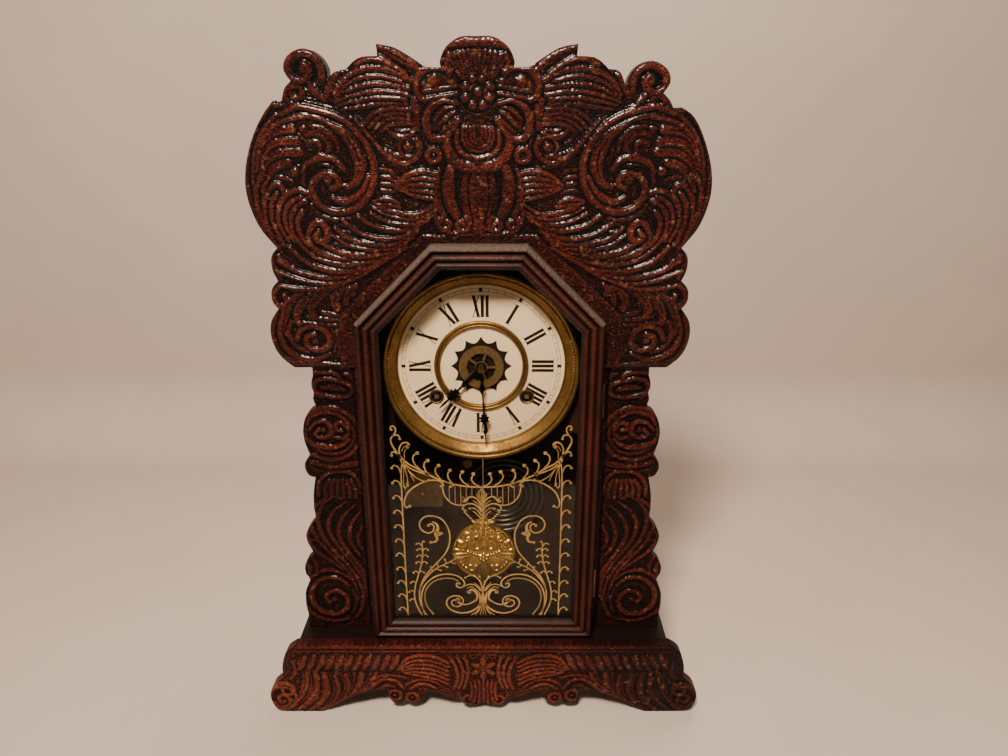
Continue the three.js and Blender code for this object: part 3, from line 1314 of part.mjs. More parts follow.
// The count wheel sits on the strike main wheel, with a notch for each hour's blows.
const COUNT_RADIUS = 19;
const COUNT_NOTCH = 2.2;
const blows = Array.from({ length: 12 }, (_, i) => ((i + 1) * (i + 2)) / 2 + i);
const countOutline = [];
for (const done of blows) {
  const notch = (done / (blows.at(-1) + 1)) * 2 * Math.PI;
  for (const [turn, r] of [[-0.05, COUNT_RADIUS], [-0.04, COUNT_RADIUS - COUNT_NOTCH],
    [0.04, COUNT_RADIUS - COUNT_NOTCH], [0.05, COUNT_RADIUS]]) {
    countOutline.push([r * Math.cos(notch + turn), r * Math.sin(notch + turn)]);
  }
}
const yCount = yMain + MAIN_WHEEL_THICKNESS + GAP;
const countWheel = crossedDisc(countOutline, yCount, 0.8, 13, 5, WINDING_ARBOR_RADIUS + RUNNING, 3, 1.5);
add("count_wheel", countWheel, brass, strikeArbor);

// The hammer, on its arbor between the plates.
const yGong = yBackBoard - GONG_SETBACK;
const headDrop = hammerHead.z - hammerArbor.z;
const yHammerWire = yBackPlateBack + 1.6;
const hammer = join([
  bar(ARBOR_RADIUS, arborFront, yHammerWire + 1, 12),
  wire([0, yHammerWire, 1], [0, yHammerWire, headDrop + 3.6], 0.8, 8),
  wire([0, yHammerWire - 0.5, headDrop + 4], [0, yGong - 2, headDrop], 0.8, 8),
  bar(HAMMER_HEAD, yGong - 4, yGong + 4, 14, 0, headDrop),
]);
add("strike_hammer", hammer, brass, hammerArbor);

// ---------------------------------------------------------------- pendulum

const rodEnd = -PENDULUM_LENGTH + BOB_RADIUS * 0.4;
const pendulumRod = join([
  box(-1.6, 1.6, yPendulum - 0.25, yPendulum + 0.25, -14, SPRING_GRIP),
  wire([0, yPendulum, -13], [0, yPendulum, rodEnd], PENDULUM_WIRE, 8),
]);
add("pendulum_rod", pendulumRod, steel, suspension);

// The bob: a crowned brass disc on a ribbed frame, with a slot behind for the rod.
const bobProfile = [
  [0, -BOB_THICKNESS],
  [BOB_RADIUS * 0.4, -BOB_THICKNESS * 0.95],
  [BOB_RADIUS * 0.75, -BOB_THICKNESS * 0.7],
  [BOB_RADIUS, -0.8],
  [BOB_RADIUS, 0],
  [0, 0],
];
const bobY = yPendulum - PENDULUM_WIRE - GAP;
const bobDisc = new THREE.LatheGeometry(bobProfile.map(([r, y]) => new THREE.Vector2(r, bobY + y)), 26);
const bobCrest = plate(
  polygon([[-11, 18], [-7, 27], [-12, 33], [-4, 34], [0, 42], [4, 34], [12, 33], [7, 27], [11, 18]]),
  bobY - 2,
  2,
);
const bobDrop = plate(polygon([[-12, -20], [-7, -31], [0, -38], [7, -31], [12, -20]]), bobY - 2, 2);
add("pendulum_bob", join([bobDisc, bobCrest, bobDrop]), brass, { x: suspension.x, z: suspension.z - PENDULUM_LENGTH });

// ---------------------------------------------------------------- gong

// A coil of hammered wire wound outwards from its stand, in one plane.
const gongInner = GONG_RADIUS - GONG_TURNS * GONG_PITCH;
class GongLine extends THREE.Curve {
  getPoint(share, target = new THREE.Vector3()) {
    const turn = share * GONG_TURNS * 2 * Math.PI;
    const r = gongInner + (GONG_PITCH * turn) / (2 * Math.PI);
    return target.set(r * Math.cos(turn + Math.PI), yGong, r * Math.sin(turn + Math.PI));
  }
}
const GONG_STEPS_A_TURN = 16;
const wireSection = new THREE.Shape(
  circle(GONG_WIRE, 4).map(([x, z]) => new THREE.Vector2(x, z)),
);
const gongSteps = GONG_TURNS * GONG_STEPS_A_TURN;
const gongCoil = new THREE.ExtrudeGeometry(wireSection, {
  steps: gongSteps,
  extrudePath: new GongLine(),
  bevelEnabled: false,
});
const gongPoints = new GongLine().getSpacedPoints(gongSteps);
let leastGap = Infinity;
gongPoints.forEach((p, i) => {
  for (const q of gongPoints.slice(i + GONG_STEPS_A_TURN / 2)) {
    leastGap = Math.min(leastGap, p.distanceTo(q) - 2 * GONG_WIRE);
  }
});
console.log(`gong coil: least gap between turns ${leastGap.toFixed(2)} mm`);
add("gong_coil", gongCoil, steel, gong);

// The cast-iron stand: a foot screwed to the back board and a block that grips the coil's inner end.
const STAND_RADIUS = 15;
const gripX = -gongInner;
const gongStand = join([
  bar(STAND_RADIUS, yBackBoard - GAP - 3, yBackBoard - GAP, 20),
  box(gripX - 4, 4, yGong + GONG_WIRE + GAP, yBackBoard - GAP - 2, -4, 4),
]);
add("gong_stand", gongStand, iron, gong);

// ---------------------------------------------------------------- alarm movement

const alarmHalf = ALARM_PLATE / 2;
const yAlarmFront = yBackBoard - 30;
const alarmAt = { x: ALARM_X, z: ALARM_HEIGHT };
const alarmSquare = polygon([
  [-alarmHalf, -alarmHalf], [alarmHalf, -alarmHalf], [alarmHalf, alarmHalf * 0.6], [alarmHalf * 0.5, alarmHalf],
  [-alarmHalf * 0.5, alarmHalf], [-alarmHalf, alarmHalf * 0.6],
]);
const alarmPosts = [[-14, -14], [14, -14], [0, 14]];
const alarmFrame = join(
  [
    plate(alarmSquare, yAlarmFront, PLATE_THICKNESS),
    plate(alarmSquare, yAlarmFront + 16, PLATE_THICKNESS),
    ...alarmPosts.map(([x, z]) => bar(2, yAlarmFront + 0.5, yBackBoard - GAP, 10, x, z)),
  ],
  [hole(ARBOR_RADIUS + RUNNING, yAlarmFront - 1, yAlarmFront + 20, 12)],
);
add("alarm_frame", alarmFrame, oldBrass, alarmAt);
const ALARM_WHEEL = { teeth: 24, module: 0.9 };
const alarmWheel = join([
  bar(ARBOR_RADIUS, yAlarmFront - 8, yAlarmFront + 18, 12),
  wheelGeometry(ALARM_WHEEL, 0, yAlarmFront + 8, WHEEL_THICKNESS, ARBOR_RADIUS * 0.8, 3),
]);
add("alarm_wheel", alarmWheel, brass, alarmAt);

export default clock;
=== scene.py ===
# A pressed-oak shelf clock, dressed over its solids: boards, door, glass, dial, movement, gong and pendulum.
# Sizes are in millimetres in the lists, and MM turns them into Blender's metres.

import json
import math

import bmesh
import bpy
import numpy as np
from mathutils import Matrix, Vector, geometry


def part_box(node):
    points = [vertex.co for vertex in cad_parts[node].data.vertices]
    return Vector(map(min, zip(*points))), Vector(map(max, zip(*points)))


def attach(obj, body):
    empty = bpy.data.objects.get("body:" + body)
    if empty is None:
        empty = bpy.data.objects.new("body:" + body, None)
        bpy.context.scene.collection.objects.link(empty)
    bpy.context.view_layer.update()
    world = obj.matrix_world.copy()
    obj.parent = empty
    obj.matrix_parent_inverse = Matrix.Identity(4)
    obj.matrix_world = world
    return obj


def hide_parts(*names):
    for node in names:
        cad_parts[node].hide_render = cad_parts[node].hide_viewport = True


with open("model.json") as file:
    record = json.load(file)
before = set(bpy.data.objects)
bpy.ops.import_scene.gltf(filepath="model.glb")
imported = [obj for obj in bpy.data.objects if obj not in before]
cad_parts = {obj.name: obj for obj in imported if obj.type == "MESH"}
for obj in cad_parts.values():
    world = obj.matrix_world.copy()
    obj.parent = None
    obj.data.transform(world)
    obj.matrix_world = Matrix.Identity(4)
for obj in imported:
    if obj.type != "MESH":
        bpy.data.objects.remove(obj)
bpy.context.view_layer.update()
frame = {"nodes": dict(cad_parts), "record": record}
MM = 0.001


# ---------------------------------------------------------------- pressed front boards
# The crest, the two uprights and the base front are soft oak pressed in a hot die, sawn to their scrolls,
# stained red-brown and varnished. The varnish has crept into beads. The hollows are darkened as dirt and
# painted shade, and the tops of the forms are lightened as a painted highlight.

class Wire:
    """One value in a finish, with the sums that can be made from it."""

    def __init__(self, finish, socket):
        self.finish = finish
        self.socket = socket

    def sum(self, operation, *others):
        return self.finish.node("ShaderNodeMath", {"operation": operation}, dict(enumerate((self, *others))))

    def __add__(self, other):
        return self.sum("ADD", other)

    __radd__ = __add__

    def __sub__(self, other):
        return self.sum("SUBTRACT", other)

    def __rsub__(self, other):
        return self.finish.node("ShaderNodeMath", {"operation": "SUBTRACT"}, {0: other, 1: self})

    def __mul__(self, other):
        return self.sum("MULTIPLY", other)

    __rmul__ = __mul__

    def between(self, low, high):
        """0 below low, 1 above high, straight in between."""
        return self.finish.node(
            "ShaderNodeMapRange", {"clamp": True}, {"Value": self, "From Min": low, "From Max": high}
        )


class Finish:
    """A material, with a method that adds any node to it and short names for the common ones."""

    def __init__(self, name, **constants):
        self.material = bpy.data.materials.new(name)
        self.material.use_nodes = True
        self.tree = self.material.node_tree
        self.shader = self.tree.nodes["Principled BSDF"]
        for key, value in constants.items():
            self.shader.inputs[key.replace("_", " ")].default_value = value

    def node(self, kind, settings, values, out=0):
        node = self.tree.nodes.new(kind)
        for key, value in settings.items():
            if key == "stops":
                self.set_stops(node.color_ramp, value)
            else:
                setattr(node, key, value)
        for key, value in values.items():
            self.put(node.inputs[key], value)
        return Wire(self, node.outputs[out])

    def set_stops(self, ramp, stops):
        while len(ramp.elements) < len(stops):
            ramp.elements.new(0.5)
        for element, (place, colour) in zip(ramp.elements, stops):
            element.position = place
            element.color = (*colour, 1)

    def put(self, socket, value):
        if isinstance(value, Wire):
            self.tree.links.new(value.socket, socket)
        else:
            socket.default_value = value

    def show(self, shader):
        """Makes a shader of the finish's own its surface."""
        self.put(self.tree.nodes["Material Output"].inputs["Surface"], shader)

    def feed(self, **links):
        for key, value in links.items():
            self.put(self.shader.inputs[key.replace("_", " ")], value)
        return self

    def place(self):
        return self.node("ShaderNodeTexCoord", {}, {}, "Object")

    def part_of_place(self, axis):
        return self.node("ShaderNodeSeparateXYZ", {}, {"Vector": self.place()}, axis)

    def stretched(self, x, y, z):
        return self.node("ShaderNodeMapping", {}, {"Vector": self.place(), "Scale": (x, y, z)})

    def noise(self, scale, detail=4, rough=0.55, vector=None):
        sockets = {"Vector": vector or self.place(), "Scale": scale, "Detail": detail, "Roughness": rough}
        return self.node("ShaderNodeTexNoise", {}, sockets, "Fac")

    def cells(self, scale, feature="F1", vector=None, out="Distance"):
        sockets = {"Vector": vector or self.place(), "Scale": scale}
        return self.node("ShaderNodeTexVoronoi", {"feature": feature}, sockets, out)

    def ramp(self, value, stops):
        return self.node("ShaderNodeValToRGB", {"stops": stops}, {"Fac": value})

    def mix(self, share, a, b, blend="MIX"):
        settings = {"data_type": "RGBA", "blend_type": blend}
        return self.node("ShaderNodeMix", settings, {0: share, 6: a, 7: b}, 2)

    def held(self, name):
        """A value stored on the piece's points."""
        return self.node("ShaderNodeAttribute", {"attribute_name": name}, {}, "Fac")

    def bump(self, height, depth, strength=1.0):
        return self.node("ShaderNodeBump", {}, {"Height": height, "Distance": depth, "Strength": strength})


def pressed_oak(name, shade=1.0, glow=0.0, fade=0.0, varnish=0.5):
    """Stained oak under old varnish. lift and cavity come from the board's relief. Where lift is high the
    colour is lightened, a painted highlight on the tops of the forms, and where cavity is low it is darkened,
    as dirt and painted shade in the hollows. glow lightens the whole board, fade darkens it towards its right
    end, and varnish is how glossy its shiniest spots are."""
    oak = Finish(name, Specular_IOR_Level=0.1, Coat_Roughness=0.23)
    lift, cavity = oak.held("lift"), oak.held("cavity")
    blotch = oak.noise(24, 4, 0.6)
    fleck = oak.noise(380, 4, 0.6).between(0.34, 0.7)
    pores = oak.noise(1.0, 4, 0.62, oak.stretched(1100, 1100, 420)).between(0.32, 0.68)
    beads = oak.cells(700)
    # Darkens the colour in the hollows, where cavity is low: dirt, and painted shade.
    clear_of_dirt_and_shade = (cavity + 0.3).between(0.0, 0.42)
    ends = oak.part_of_place("X").between(50 * MM, 150 * MM)
    # lift * 0.28 lightens the tops of the forms as a painted highlight.
    tone = clear_of_dirt_and_shade * 0.48 + lift * 0.28 + blotch * 0.58 + fleck * 0.2 + pores * 0.16 - 0.6 + glow - ends * fade

    def shaded(*colour):
        return tuple(part * shade for part in colour)

    colour = oak.ramp(tone, [
        (0.0, shaded(0.004, 0.002, 0.0016)),
        (0.3, shaded(0.012, 0.0028, 0.0019)),
        (0.52, shaded(0.05, 0.0074, 0.0045)),
        (0.76, shaded(0.135, 0.022, 0.0105)),
        (1.0, shaded(0.33, 0.085, 0.034)),
    ])
    worn = (oak.noise(210, 4, 0.6) + lift * 0.2).between(0.74, 0.9)
    colour = oak.mix(worn * 0.6, colour, (*shaded(0.34, 0.14, 0.065), 1))
    gloss = (oak.noise(60, 3) * 0.7 + fleck * 0.3).between(0.3, 0.75)
    height = beads * -0.8 + pores * 0.4 + fleck * 0.6
    oak.feed(
        Base_Color=colour,
        Roughness=gloss * 0.25 + 0.4,
        Coat_Weight=(1 - gloss) * varnish,
        Normal=oak.bump(height, 0.0026, 0.95),
    )
    return oak.material


def corners_of(node):
    """The low and the high corner of a solid, in mm."""
    return [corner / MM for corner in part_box(node)]


def around(faces):
    """The outer edge in order, followed along the sides that only one face has."""
    sides = {side for face in faces for side in zip(face, (*face[1:], face[0]))}
    after = {a: b for a, b in sides if (b, a) not in sides}
    rim = [min(after)]
    while after[rim[-1]] != rim[0]:
        rim.append(after[rim[-1]])
    return rim


def sawn_outline(node):
    """The outline of a board, as points in mm, read from the flat back of its solid."""
    mesh = frame["nodes"][node].data
    y_back = max(v.co.y for v in mesh.vertices)
    touching = 2e-5  # metres
    faces = []
    for face in mesh.polygons:
        corners = [mesh.vertices[i].co for i in face.vertices]
        if all(abs(p.y - y_back) < touching for p in corners):
            faces.append([(round(p.x, 5), round(p.z, 5)) for p in reversed(corners)])
    return [Vector((x / MM, z / MM)) for x, z in around(faces)]


def between_points(p0, p1, p2, p3, t):
    """The smooth curve from p1 to p2, which leaves and arrives in line with the points on either side."""
    return 0.5 * (2 * p1 + (p2 - p0) * t + (2 * p0 - 5 * p1 + 4 * p2 - p3) * t * t
                  + (3 * p1 - p0 - 3 * p2 + p3) * t * t * t)


def eased(ring, step=1.0, notch=32, straight=14):
    """The outline with its facets rounded. Turns sharper than notch degrees stay corners, and sides longer
    than straight mm stay straight."""
    ring = [p for i, p in enumerate(ring) if (p - ring[i - 1]).length > 0.02]
    count = len(ring)

    def turn(i):
        a, b = ring[i] - ring[i - 1], ring[(i + 1) % count] - ring[i]
        return abs(math.degrees(a.angle_signed(b, 0)))

    def beyond(i, towards, other, reach):
        """The point that steers the curve past its end i: straight on at a corner, else by its neighbour."""
        end = ring[i]
        return end * 2 - other if turn(i) > notch else end + (ring[towards] - end).normalized() * reach

    out = []
    for i in range(count):
        after = (i + 1) % count
        p1, p2 = ring[i], ring[after]
        reach = (p2 - p1).length
        p0, p3 = beyond(i, i - 1, p2, reach), beyond(after, (i + 2) % count, p1, reach)
        pieces = max(1, round(reach / step))
        for k in range(pieces):
            t = k / pieces
            out.append(p1.lerp(p2, t) if reach > straight else between_points(p0, p1, p2, p3, t))
    return out


def spline(points, step=1.6, closed=False):
    """A smooth line through given points, as an array, with each point's share of the way."""
    points = [np.array(p, float) for p in points]
    if len(points) == 2:
        points = [points[0], (points[0] + points[1]) / 2, points[1]]
    ends = (points[-1:], points[:2]) if closed else (points[:1], points[-1:])
    padded = ends[0] + points + ends[1]
    out = []
    for p0, p1, p2, p3 in zip(padded, padded[1:], padded[2:], padded[3:]):
        pieces = max(2, int(np.linalg.norm(p2 - p1) / step))
        out += [between_points(p0, p1, p2, p3, k / pieces) for k in range(pieces)]
    out.append(padded[-2])
    out = np.array(out)
    way = np.r_[0, np.cumsum(np.linalg.norm(np.diff(out, axis=0), axis=1))]
    return out, way / way[-1]


def half_widths(width, share):
    """Half of a line's width at each of its points. width is one number, or its start, middle and end."""
    widths = (width, width, width) if np.isscalar(width) else width
    return np.interp(share, (0, 0.5, 1), widths) / 2


def beside(a, b, gx, gz):
    """For each point of a grid, where along a side it lies, from 0 at a to 1 at b, and how far off."""
    d = b - a
    t = np.clip(((gx - a[0]) * d[0] + (gz - a[1]) * d[1]) / (d @ d + 1e-9), 0, 1)
    return t, np.hypot(gx - a[0] - d[0] * t, gz - a[1] - d[1] * t)


def polar(centre, radius, degrees):
    """The point at an angle round a centre, counter-clockwise from the right."""
    t = math.radians(degrees)
    return centre[0] + radius * math.cos(t), centre[1] + radius * math.sin(t)


class Relief:
    """The height of a pressed face, in mm above its ground, on a fine grid."""

    STEP = 0.4
    LINED = 2.3  # A strap with a larger half-width has a line cut along it,
    LINE_AT, LINE_HALF, LINE_DEPTH = 0.42, 0.62, 0.16  # so far across, so wide and so deep for its height.

    def __init__(self, x0, x1, z0, z1, ground=0.0):
        self.x = np.arange(x0, x1 + self.STEP, self.STEP)
        self.z = np.arange(z0, z1 + self.STEP, self.STEP)
        self.height = np.full((len(self.z), len(self.x)), ground)

    def window(self, low, high):
        """The rows and columns of the grid between two corners."""
        i0, i1 = np.searchsorted(self.x, (low[0], high[0]))
        j0, j1 = np.searchsorted(self.z, (low[1], high[1]))
        return slice(j0, j1 + 1), slice(i0, i1 + 1)

    def stroke(self, points, width, height, closed=False, beads=0.0, square=2.0, skirt=2.6, swell=0.9):
        """A rounded strap along a line. width is its full width, or its widths at the start, middle and end,
        and swell is added on each side. beads is the pitch of the beads that it is cut into, and skirt is
        how far its slope runs down to the ground."""
        line, share = spline(points, closed=closed)
        half = half_widths(width, share)
        half = half + swell * np.minimum(half, 1.0)
        beat = np.r_[0, np.cumsum(np.linalg.norm(np.diff(line, axis=0), axis=1))]
        for a, b, ra, rb, wa, wb in zip(line, line[1:], half, half[1:], beat, beat[1:]):
            reach = max(ra, rb) + skirt
            rows, cols = self.window(np.minimum(a, b) - reach, np.maximum(a, b) + reach)
            gx, gz = np.meshgrid(self.x[cols], self.z[rows])
            t, away = beside(a, b, gx, gz)
            radius = ra + (rb - ra) * t + 1e-6
            crown = 0.5 * np.sqrt(np.clip(1 - (away / radius) ** square, 0, 1))
            slope = 0.5 * np.clip(1 - (away - radius) / skirt, 0, 1) ** 1.25
            if beads:
                along = wa + (wb - wa) * t
                crown = crown * (0.3 + 0.7 * np.abs(np.sin(along * math.pi / beads)))
            elif max(ra, rb) > self.LINED:
                d = b - a
                off = (d[0] * (gz - a[1]) - d[1] * (gx - a[0])) / (np.hypot(*d) + 1e-9)
                near_line = np.clip(1 - np.abs(off - radius * self.LINE_AT) / self.LINE_HALF, 0, 1)
                crown = crown - self.LINE_DEPTH * near_line
            patch = self.height[rows, cols]
            np.maximum(patch, height * (np.where(away < radius, 0.5, slope) + crown), out=patch)
        return self

    def groove(self, points, width, depth):
        """A hollow cut along a line, round in section."""
        line, share = spline(points)
        half = half_widths(width, share)
        rows, cols = self.window(line.min(0) - 2 * max(half), line.max(0) + 2 * max(half))
        gx, gz = np.meshgrid(self.x[cols], self.z[rows])
        cut = np.zeros(gx.shape)
        for a, b, r in zip(line, line[1:], half):
            away = beside(a, b, gx, gz)[1]
            cut = np.maximum(cut, np.sqrt(np.clip(1 - (away / (r + 1e-6)) ** 2, 0, 1)))
        self.height[rows, cols] -= cut * depth
        return self

    def fan(self, first, last, count, width, height, **more):
        """Ridges spread evenly from one line to another. Both lines have as many points."""
        a, b = np.array(first, float), np.array(last, float)
        for i in range(count):
            share = i / max(count - 1, 1)
            self.stroke(a * (1 - share) + b * share, width, height, **more)
        return self

    def dome(self, centre, radius, height, flat=1.0):
        """A ball, or with flat a shallower button."""
        rows, cols = self.window(np.array(centre) - radius, np.array(centre) + radius)
        gx, gz = np.meshgrid(self.x[cols], self.z[rows])
        off = np.hypot(gx - centre[0], gz - centre[1]) / radius
        body = np.clip(1 - off ** (2 * flat), 0, 1) ** 0.5
        patch = self.height[rows, cols]
        np.copyto(patch, np.maximum(patch, height * body), where=off < 1)
        return self

    def ring(self, centre, radius, width, height, squash=1.0, **more):
        """A round ridge. squash is how high it is for its width."""
        turn = np.linspace(0, 2 * math.pi, 17)[:-1]
        points = [(centre[0] + radius * math.cos(t), centre[1] + radius * squash * math.sin(t)) for t in turn]
        return self.stroke(points, width, height, closed=True, **more)

    def scroll(self, centre, radius, turns, start, width, height, way=1, inner=0.25):
        """A spiral ridge that winds in from its outer end, which lies at start degrees."""
        shares = [i / (turns * 10) for i in range(int(turns * 10) + 1)]
        points = []
        for share in shares:
            points.append(polar(centre, radius * (1 - (1 - inner) * share), start + way * turns * 360 * share))
        return self.stroke(points, width, height)

    def echoed(self, height, pitch=2.6, reach=11):
        """Fine ridges over the open ground, which run along the sides of the forms beside them."""
        away = np.where(self.height > self.height.min() + 0.3, 0.0, 99.0)
        for _ in range(int(reach / self.STEP)):
            for rows, cols in ((0, 1), (0, -1), (1, 0), (-1, 0), (1, 1), (1, -1), (-1, 1), (-1, -1)):
                step = self.STEP * math.hypot(rows, cols)
                away = np.minimum(away, np.roll(away, (rows, cols), (0, 1)) + step)
        ridge = 0.5 - 0.5 * np.cos(2 * math.pi * away / pitch)
        self.height += np.where(away < reach, ridge * height, 0)
        return self

    def pitted(self, depth, seed):
        """Small pits and lumps all over, as the pressed grain leaves them."""
        rough = blurred(np.random.default_rng(seed).normal(size=self.height.shape), 1)
        self.height += rough / rough.std() * depth
        return self

    def softened(self):
        """Evens out each point a little with its neighbours, as a worn die does."""
        h = np.pad(self.height, 1, mode="edge")
        h = (h[:-2] + 2 * h[1:-1] + h[2:]) / 4
        self.height = (h[:, :-2] + 2 * h[:, 1:-1] + h[:, 2:]) / 4
        return self

    def mirrored(self):
        """The right half made from the left one. The grid runs as far to the right as to the left."""
        count = len(self.x)
        self.height[:, (count + 1) // 2:] = self.height[:, : count // 2][:, ::-1]
        return self

    def sample(self, field, x, z):
        """The value of a field between its grid points."""
        u = np.clip((x - self.x[0]) / self.STEP, 0, len(self.x) - 1.001)
        v = np.clip((z - self.z[0]) / self.STEP, 0, len(self.z) - 1.001)
        i, j = u.astype(int), v.astype(int)
        fu, fv = u - i, v - j
        top = field[j + 1, i] * (1 - fu) + field[j + 1, i + 1] * fu
        low = field[j, i] * (1 - fu) + field[j, i + 1] * fu
        return low * (1 - fv) + top * fv


def blurred(field, cells):
    """A box blur of the given half-width, done twice."""
    for _ in range(2):
        for axis in (0, 1):
            pad = [(0, 0), (0, 0)]
            pad[axis] = (cells + 1, cells)
            total = np.cumsum(np.pad(field, pad, mode="edge"), axis=axis)
            size = 2 * cells + 1
            ahead = np.take(total, range(size, total.shape[axis]), axis=axis)
            behind = np.take(total, range(0, total.shape[axis] - size), axis=axis)
            field = (ahead - behind) / size
    return field


def filled_rows(ring, xs, zs):
    """Which points of a grid lie inside an outline."""
    inside = np.zeros((len(zs), len(xs)), bool)
    points = np.array([(p.x, p.y) for p in ring])
    nxt = np.roll(points, -1, axis=0)
    for j, z in enumerate(zs):
        hit = (points[:, 1] > z) != (nxt[:, 1] > z)
        a, b = points[hit], nxt[hit]
        crossings = a[:, 0] + (z - a[:, 1]) * (b[:, 0] - a[:, 0]) / (b[:, 1] - a[:, 1])
        inside[j] = (np.searchsorted(np.sort(crossings), xs) % 2) == 1
    return inside


def new_piece(name, points, faces, material, smooth=True):
    """A mesh piece from points in mm."""
    mesh = bpy.data.meshes.new(name)
    mesh.from_pydata([tuple(c * MM for c in p) for p in points], [], faces)
    mesh.materials.append(material)
    mesh.polygons.foreach_set("use_smooth", [smooth] * len(mesh.polygons))
    mesh.update()
    piece = bpy.data.objects.new(name, mesh)
    bpy.context.scene.collection.objects.link(piece)
    return piece


def board_points(ring, low, high, cell):
    """The outline, and a grid of points inside it that stay clear of the outline's own."""
    clear = 0.62 * cell
    xs = np.arange(low.x + cell / 2, high.x, cell)
    zs = np.arange(low.z + cell / 2, high.z, cell)
    keep = filled_rows(ring, xs, zs)
    for p in ring:
        i, j = int((p.x - xs[0]) / cell), int((p.y - zs[0]) / cell)
        for a in range(max(i - 1, 0), min(i + 3, len(xs))):
            for b in range(max(j - 1, 0), min(j + 3, len(zs))):
                if (xs[a] - p.x) ** 2 + (zs[b] - p.y) ** 2 < clear ** 2:
                    keep[b, a] = False
    gx, gz = np.meshgrid(xs, zs)
    return [Vector((p.x, p.y)) for p in ring] + [Vector(p) for p in zip(gx[keep], gz[keep])]


def rounded_over(relief, ring, edge):
    """The relief with its heights falling towards the outline, where it keeps about a third of them."""
    at_outline = 0.35
    distance = np.full(relief.height.shape, 99.0)
    for p in ring:
        rows, cols = relief.window((p.x - edge * 2, p.y - edge * 2), (p.x + edge * 2, p.y + edge * 2))
        px, pz = np.meshgrid(relief.x[cols], relief.z[rows])
        np.minimum(distance[rows, cols], np.hypot(px - p.x, pz - p.y), out=distance[rows, cols])
    fall = np.clip(distance / edge, 0, 1)
    return relief.height * (at_outline + (1 - at_outline) * np.sqrt(fall * (2 - fall)))


def hold(piece, **fields):
    """Stores values on a piece's points, where its finish reads them."""
    for label, values in fields.items():
        attribute = piece.data.attributes.new(label, "FLOAT", "POINT")
        attribute.data.foreach_set("value", np.array(values, np.float32))


def pressed_board(name, node, relief, material, cell=0.85, highest=3.8, edge=1.6, body="case"):
    """A board whose front carries the relief. Its ground lies `highest` behind the solid's flat front."""
    low, high = corners_of(node)
    ring = eased(sawn_outline(node))
    flat = board_points(ring, low, high, cell)
    made = geometry.delaunay_2d_cdt(flat, [], [list(range(len(ring)))], 1, 1e-5, True)
    triangles = [face for face, within in zip(made[2], made[5]) if within]
    points = np.array([tuple(v) for v in made[0]])
    x, z = points[:, 0], points[:, 1]
    height = relief.sample(rounded_over(relief, ring, edge), x, z)
    deepest, proud = 1.5, 0.4
    y = low.y + highest - np.clip(height, -deepest, highest + proud)
    faces = []
    for a, b, c in triangles:
        up = (x[b] - x[a]) * (z[c] - z[a]) - (x[c] - x[a]) * (z[b] - z[a])
        faces.append((a, b, c) if up > 0 else (a, c, b))
    # The rim is joined to the flat back by a wall, and the back is one face.
    rim = around(faces)
    n, m = len(points), len(rim)
    for k in range(m):
        a, b = rim[k], rim[(k + 1) % m]
        faces.append((b, a, n + k, n + (k + 1) % m))
    faces.append(tuple(n + k for k in reversed(range(m))))
    piece = new_piece(name, [*zip(x, y, z), *((x[i], high.y, z[i]) for i in rim)], faces, material)
    # lift and cavity are read by the finish: painted highlight on the tops, dirt and painted shade in the
    # hollows.
    hollow = relief.sample(relief.height - blurred(relief.height, 5), x, z) / 1.2
    hold(
        piece,
        lift=np.clip(np.r_[height / highest, np.full(m, 0.3)], -1, 1.2),
        cavity=np.clip(np.r_[hollow, np.zeros(m)], -1, 1.2),
    )
    for k, polygon in enumerate(piece.data.polygons):
        polygon.use_smooth = k < len(triangles)
    sharp = piece.data.attributes.new("sharp_edge", "BOOLEAN", "EDGE")
    edges = {tuple(sorted((rim[k], rim[(k + 1) % m]))) for k in range(m)}
    sharp.data.foreach_set("value", [tuple(sorted(e.vertices)) in edges for e in piece.data.edges])
    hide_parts(node)
    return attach(piece, body)


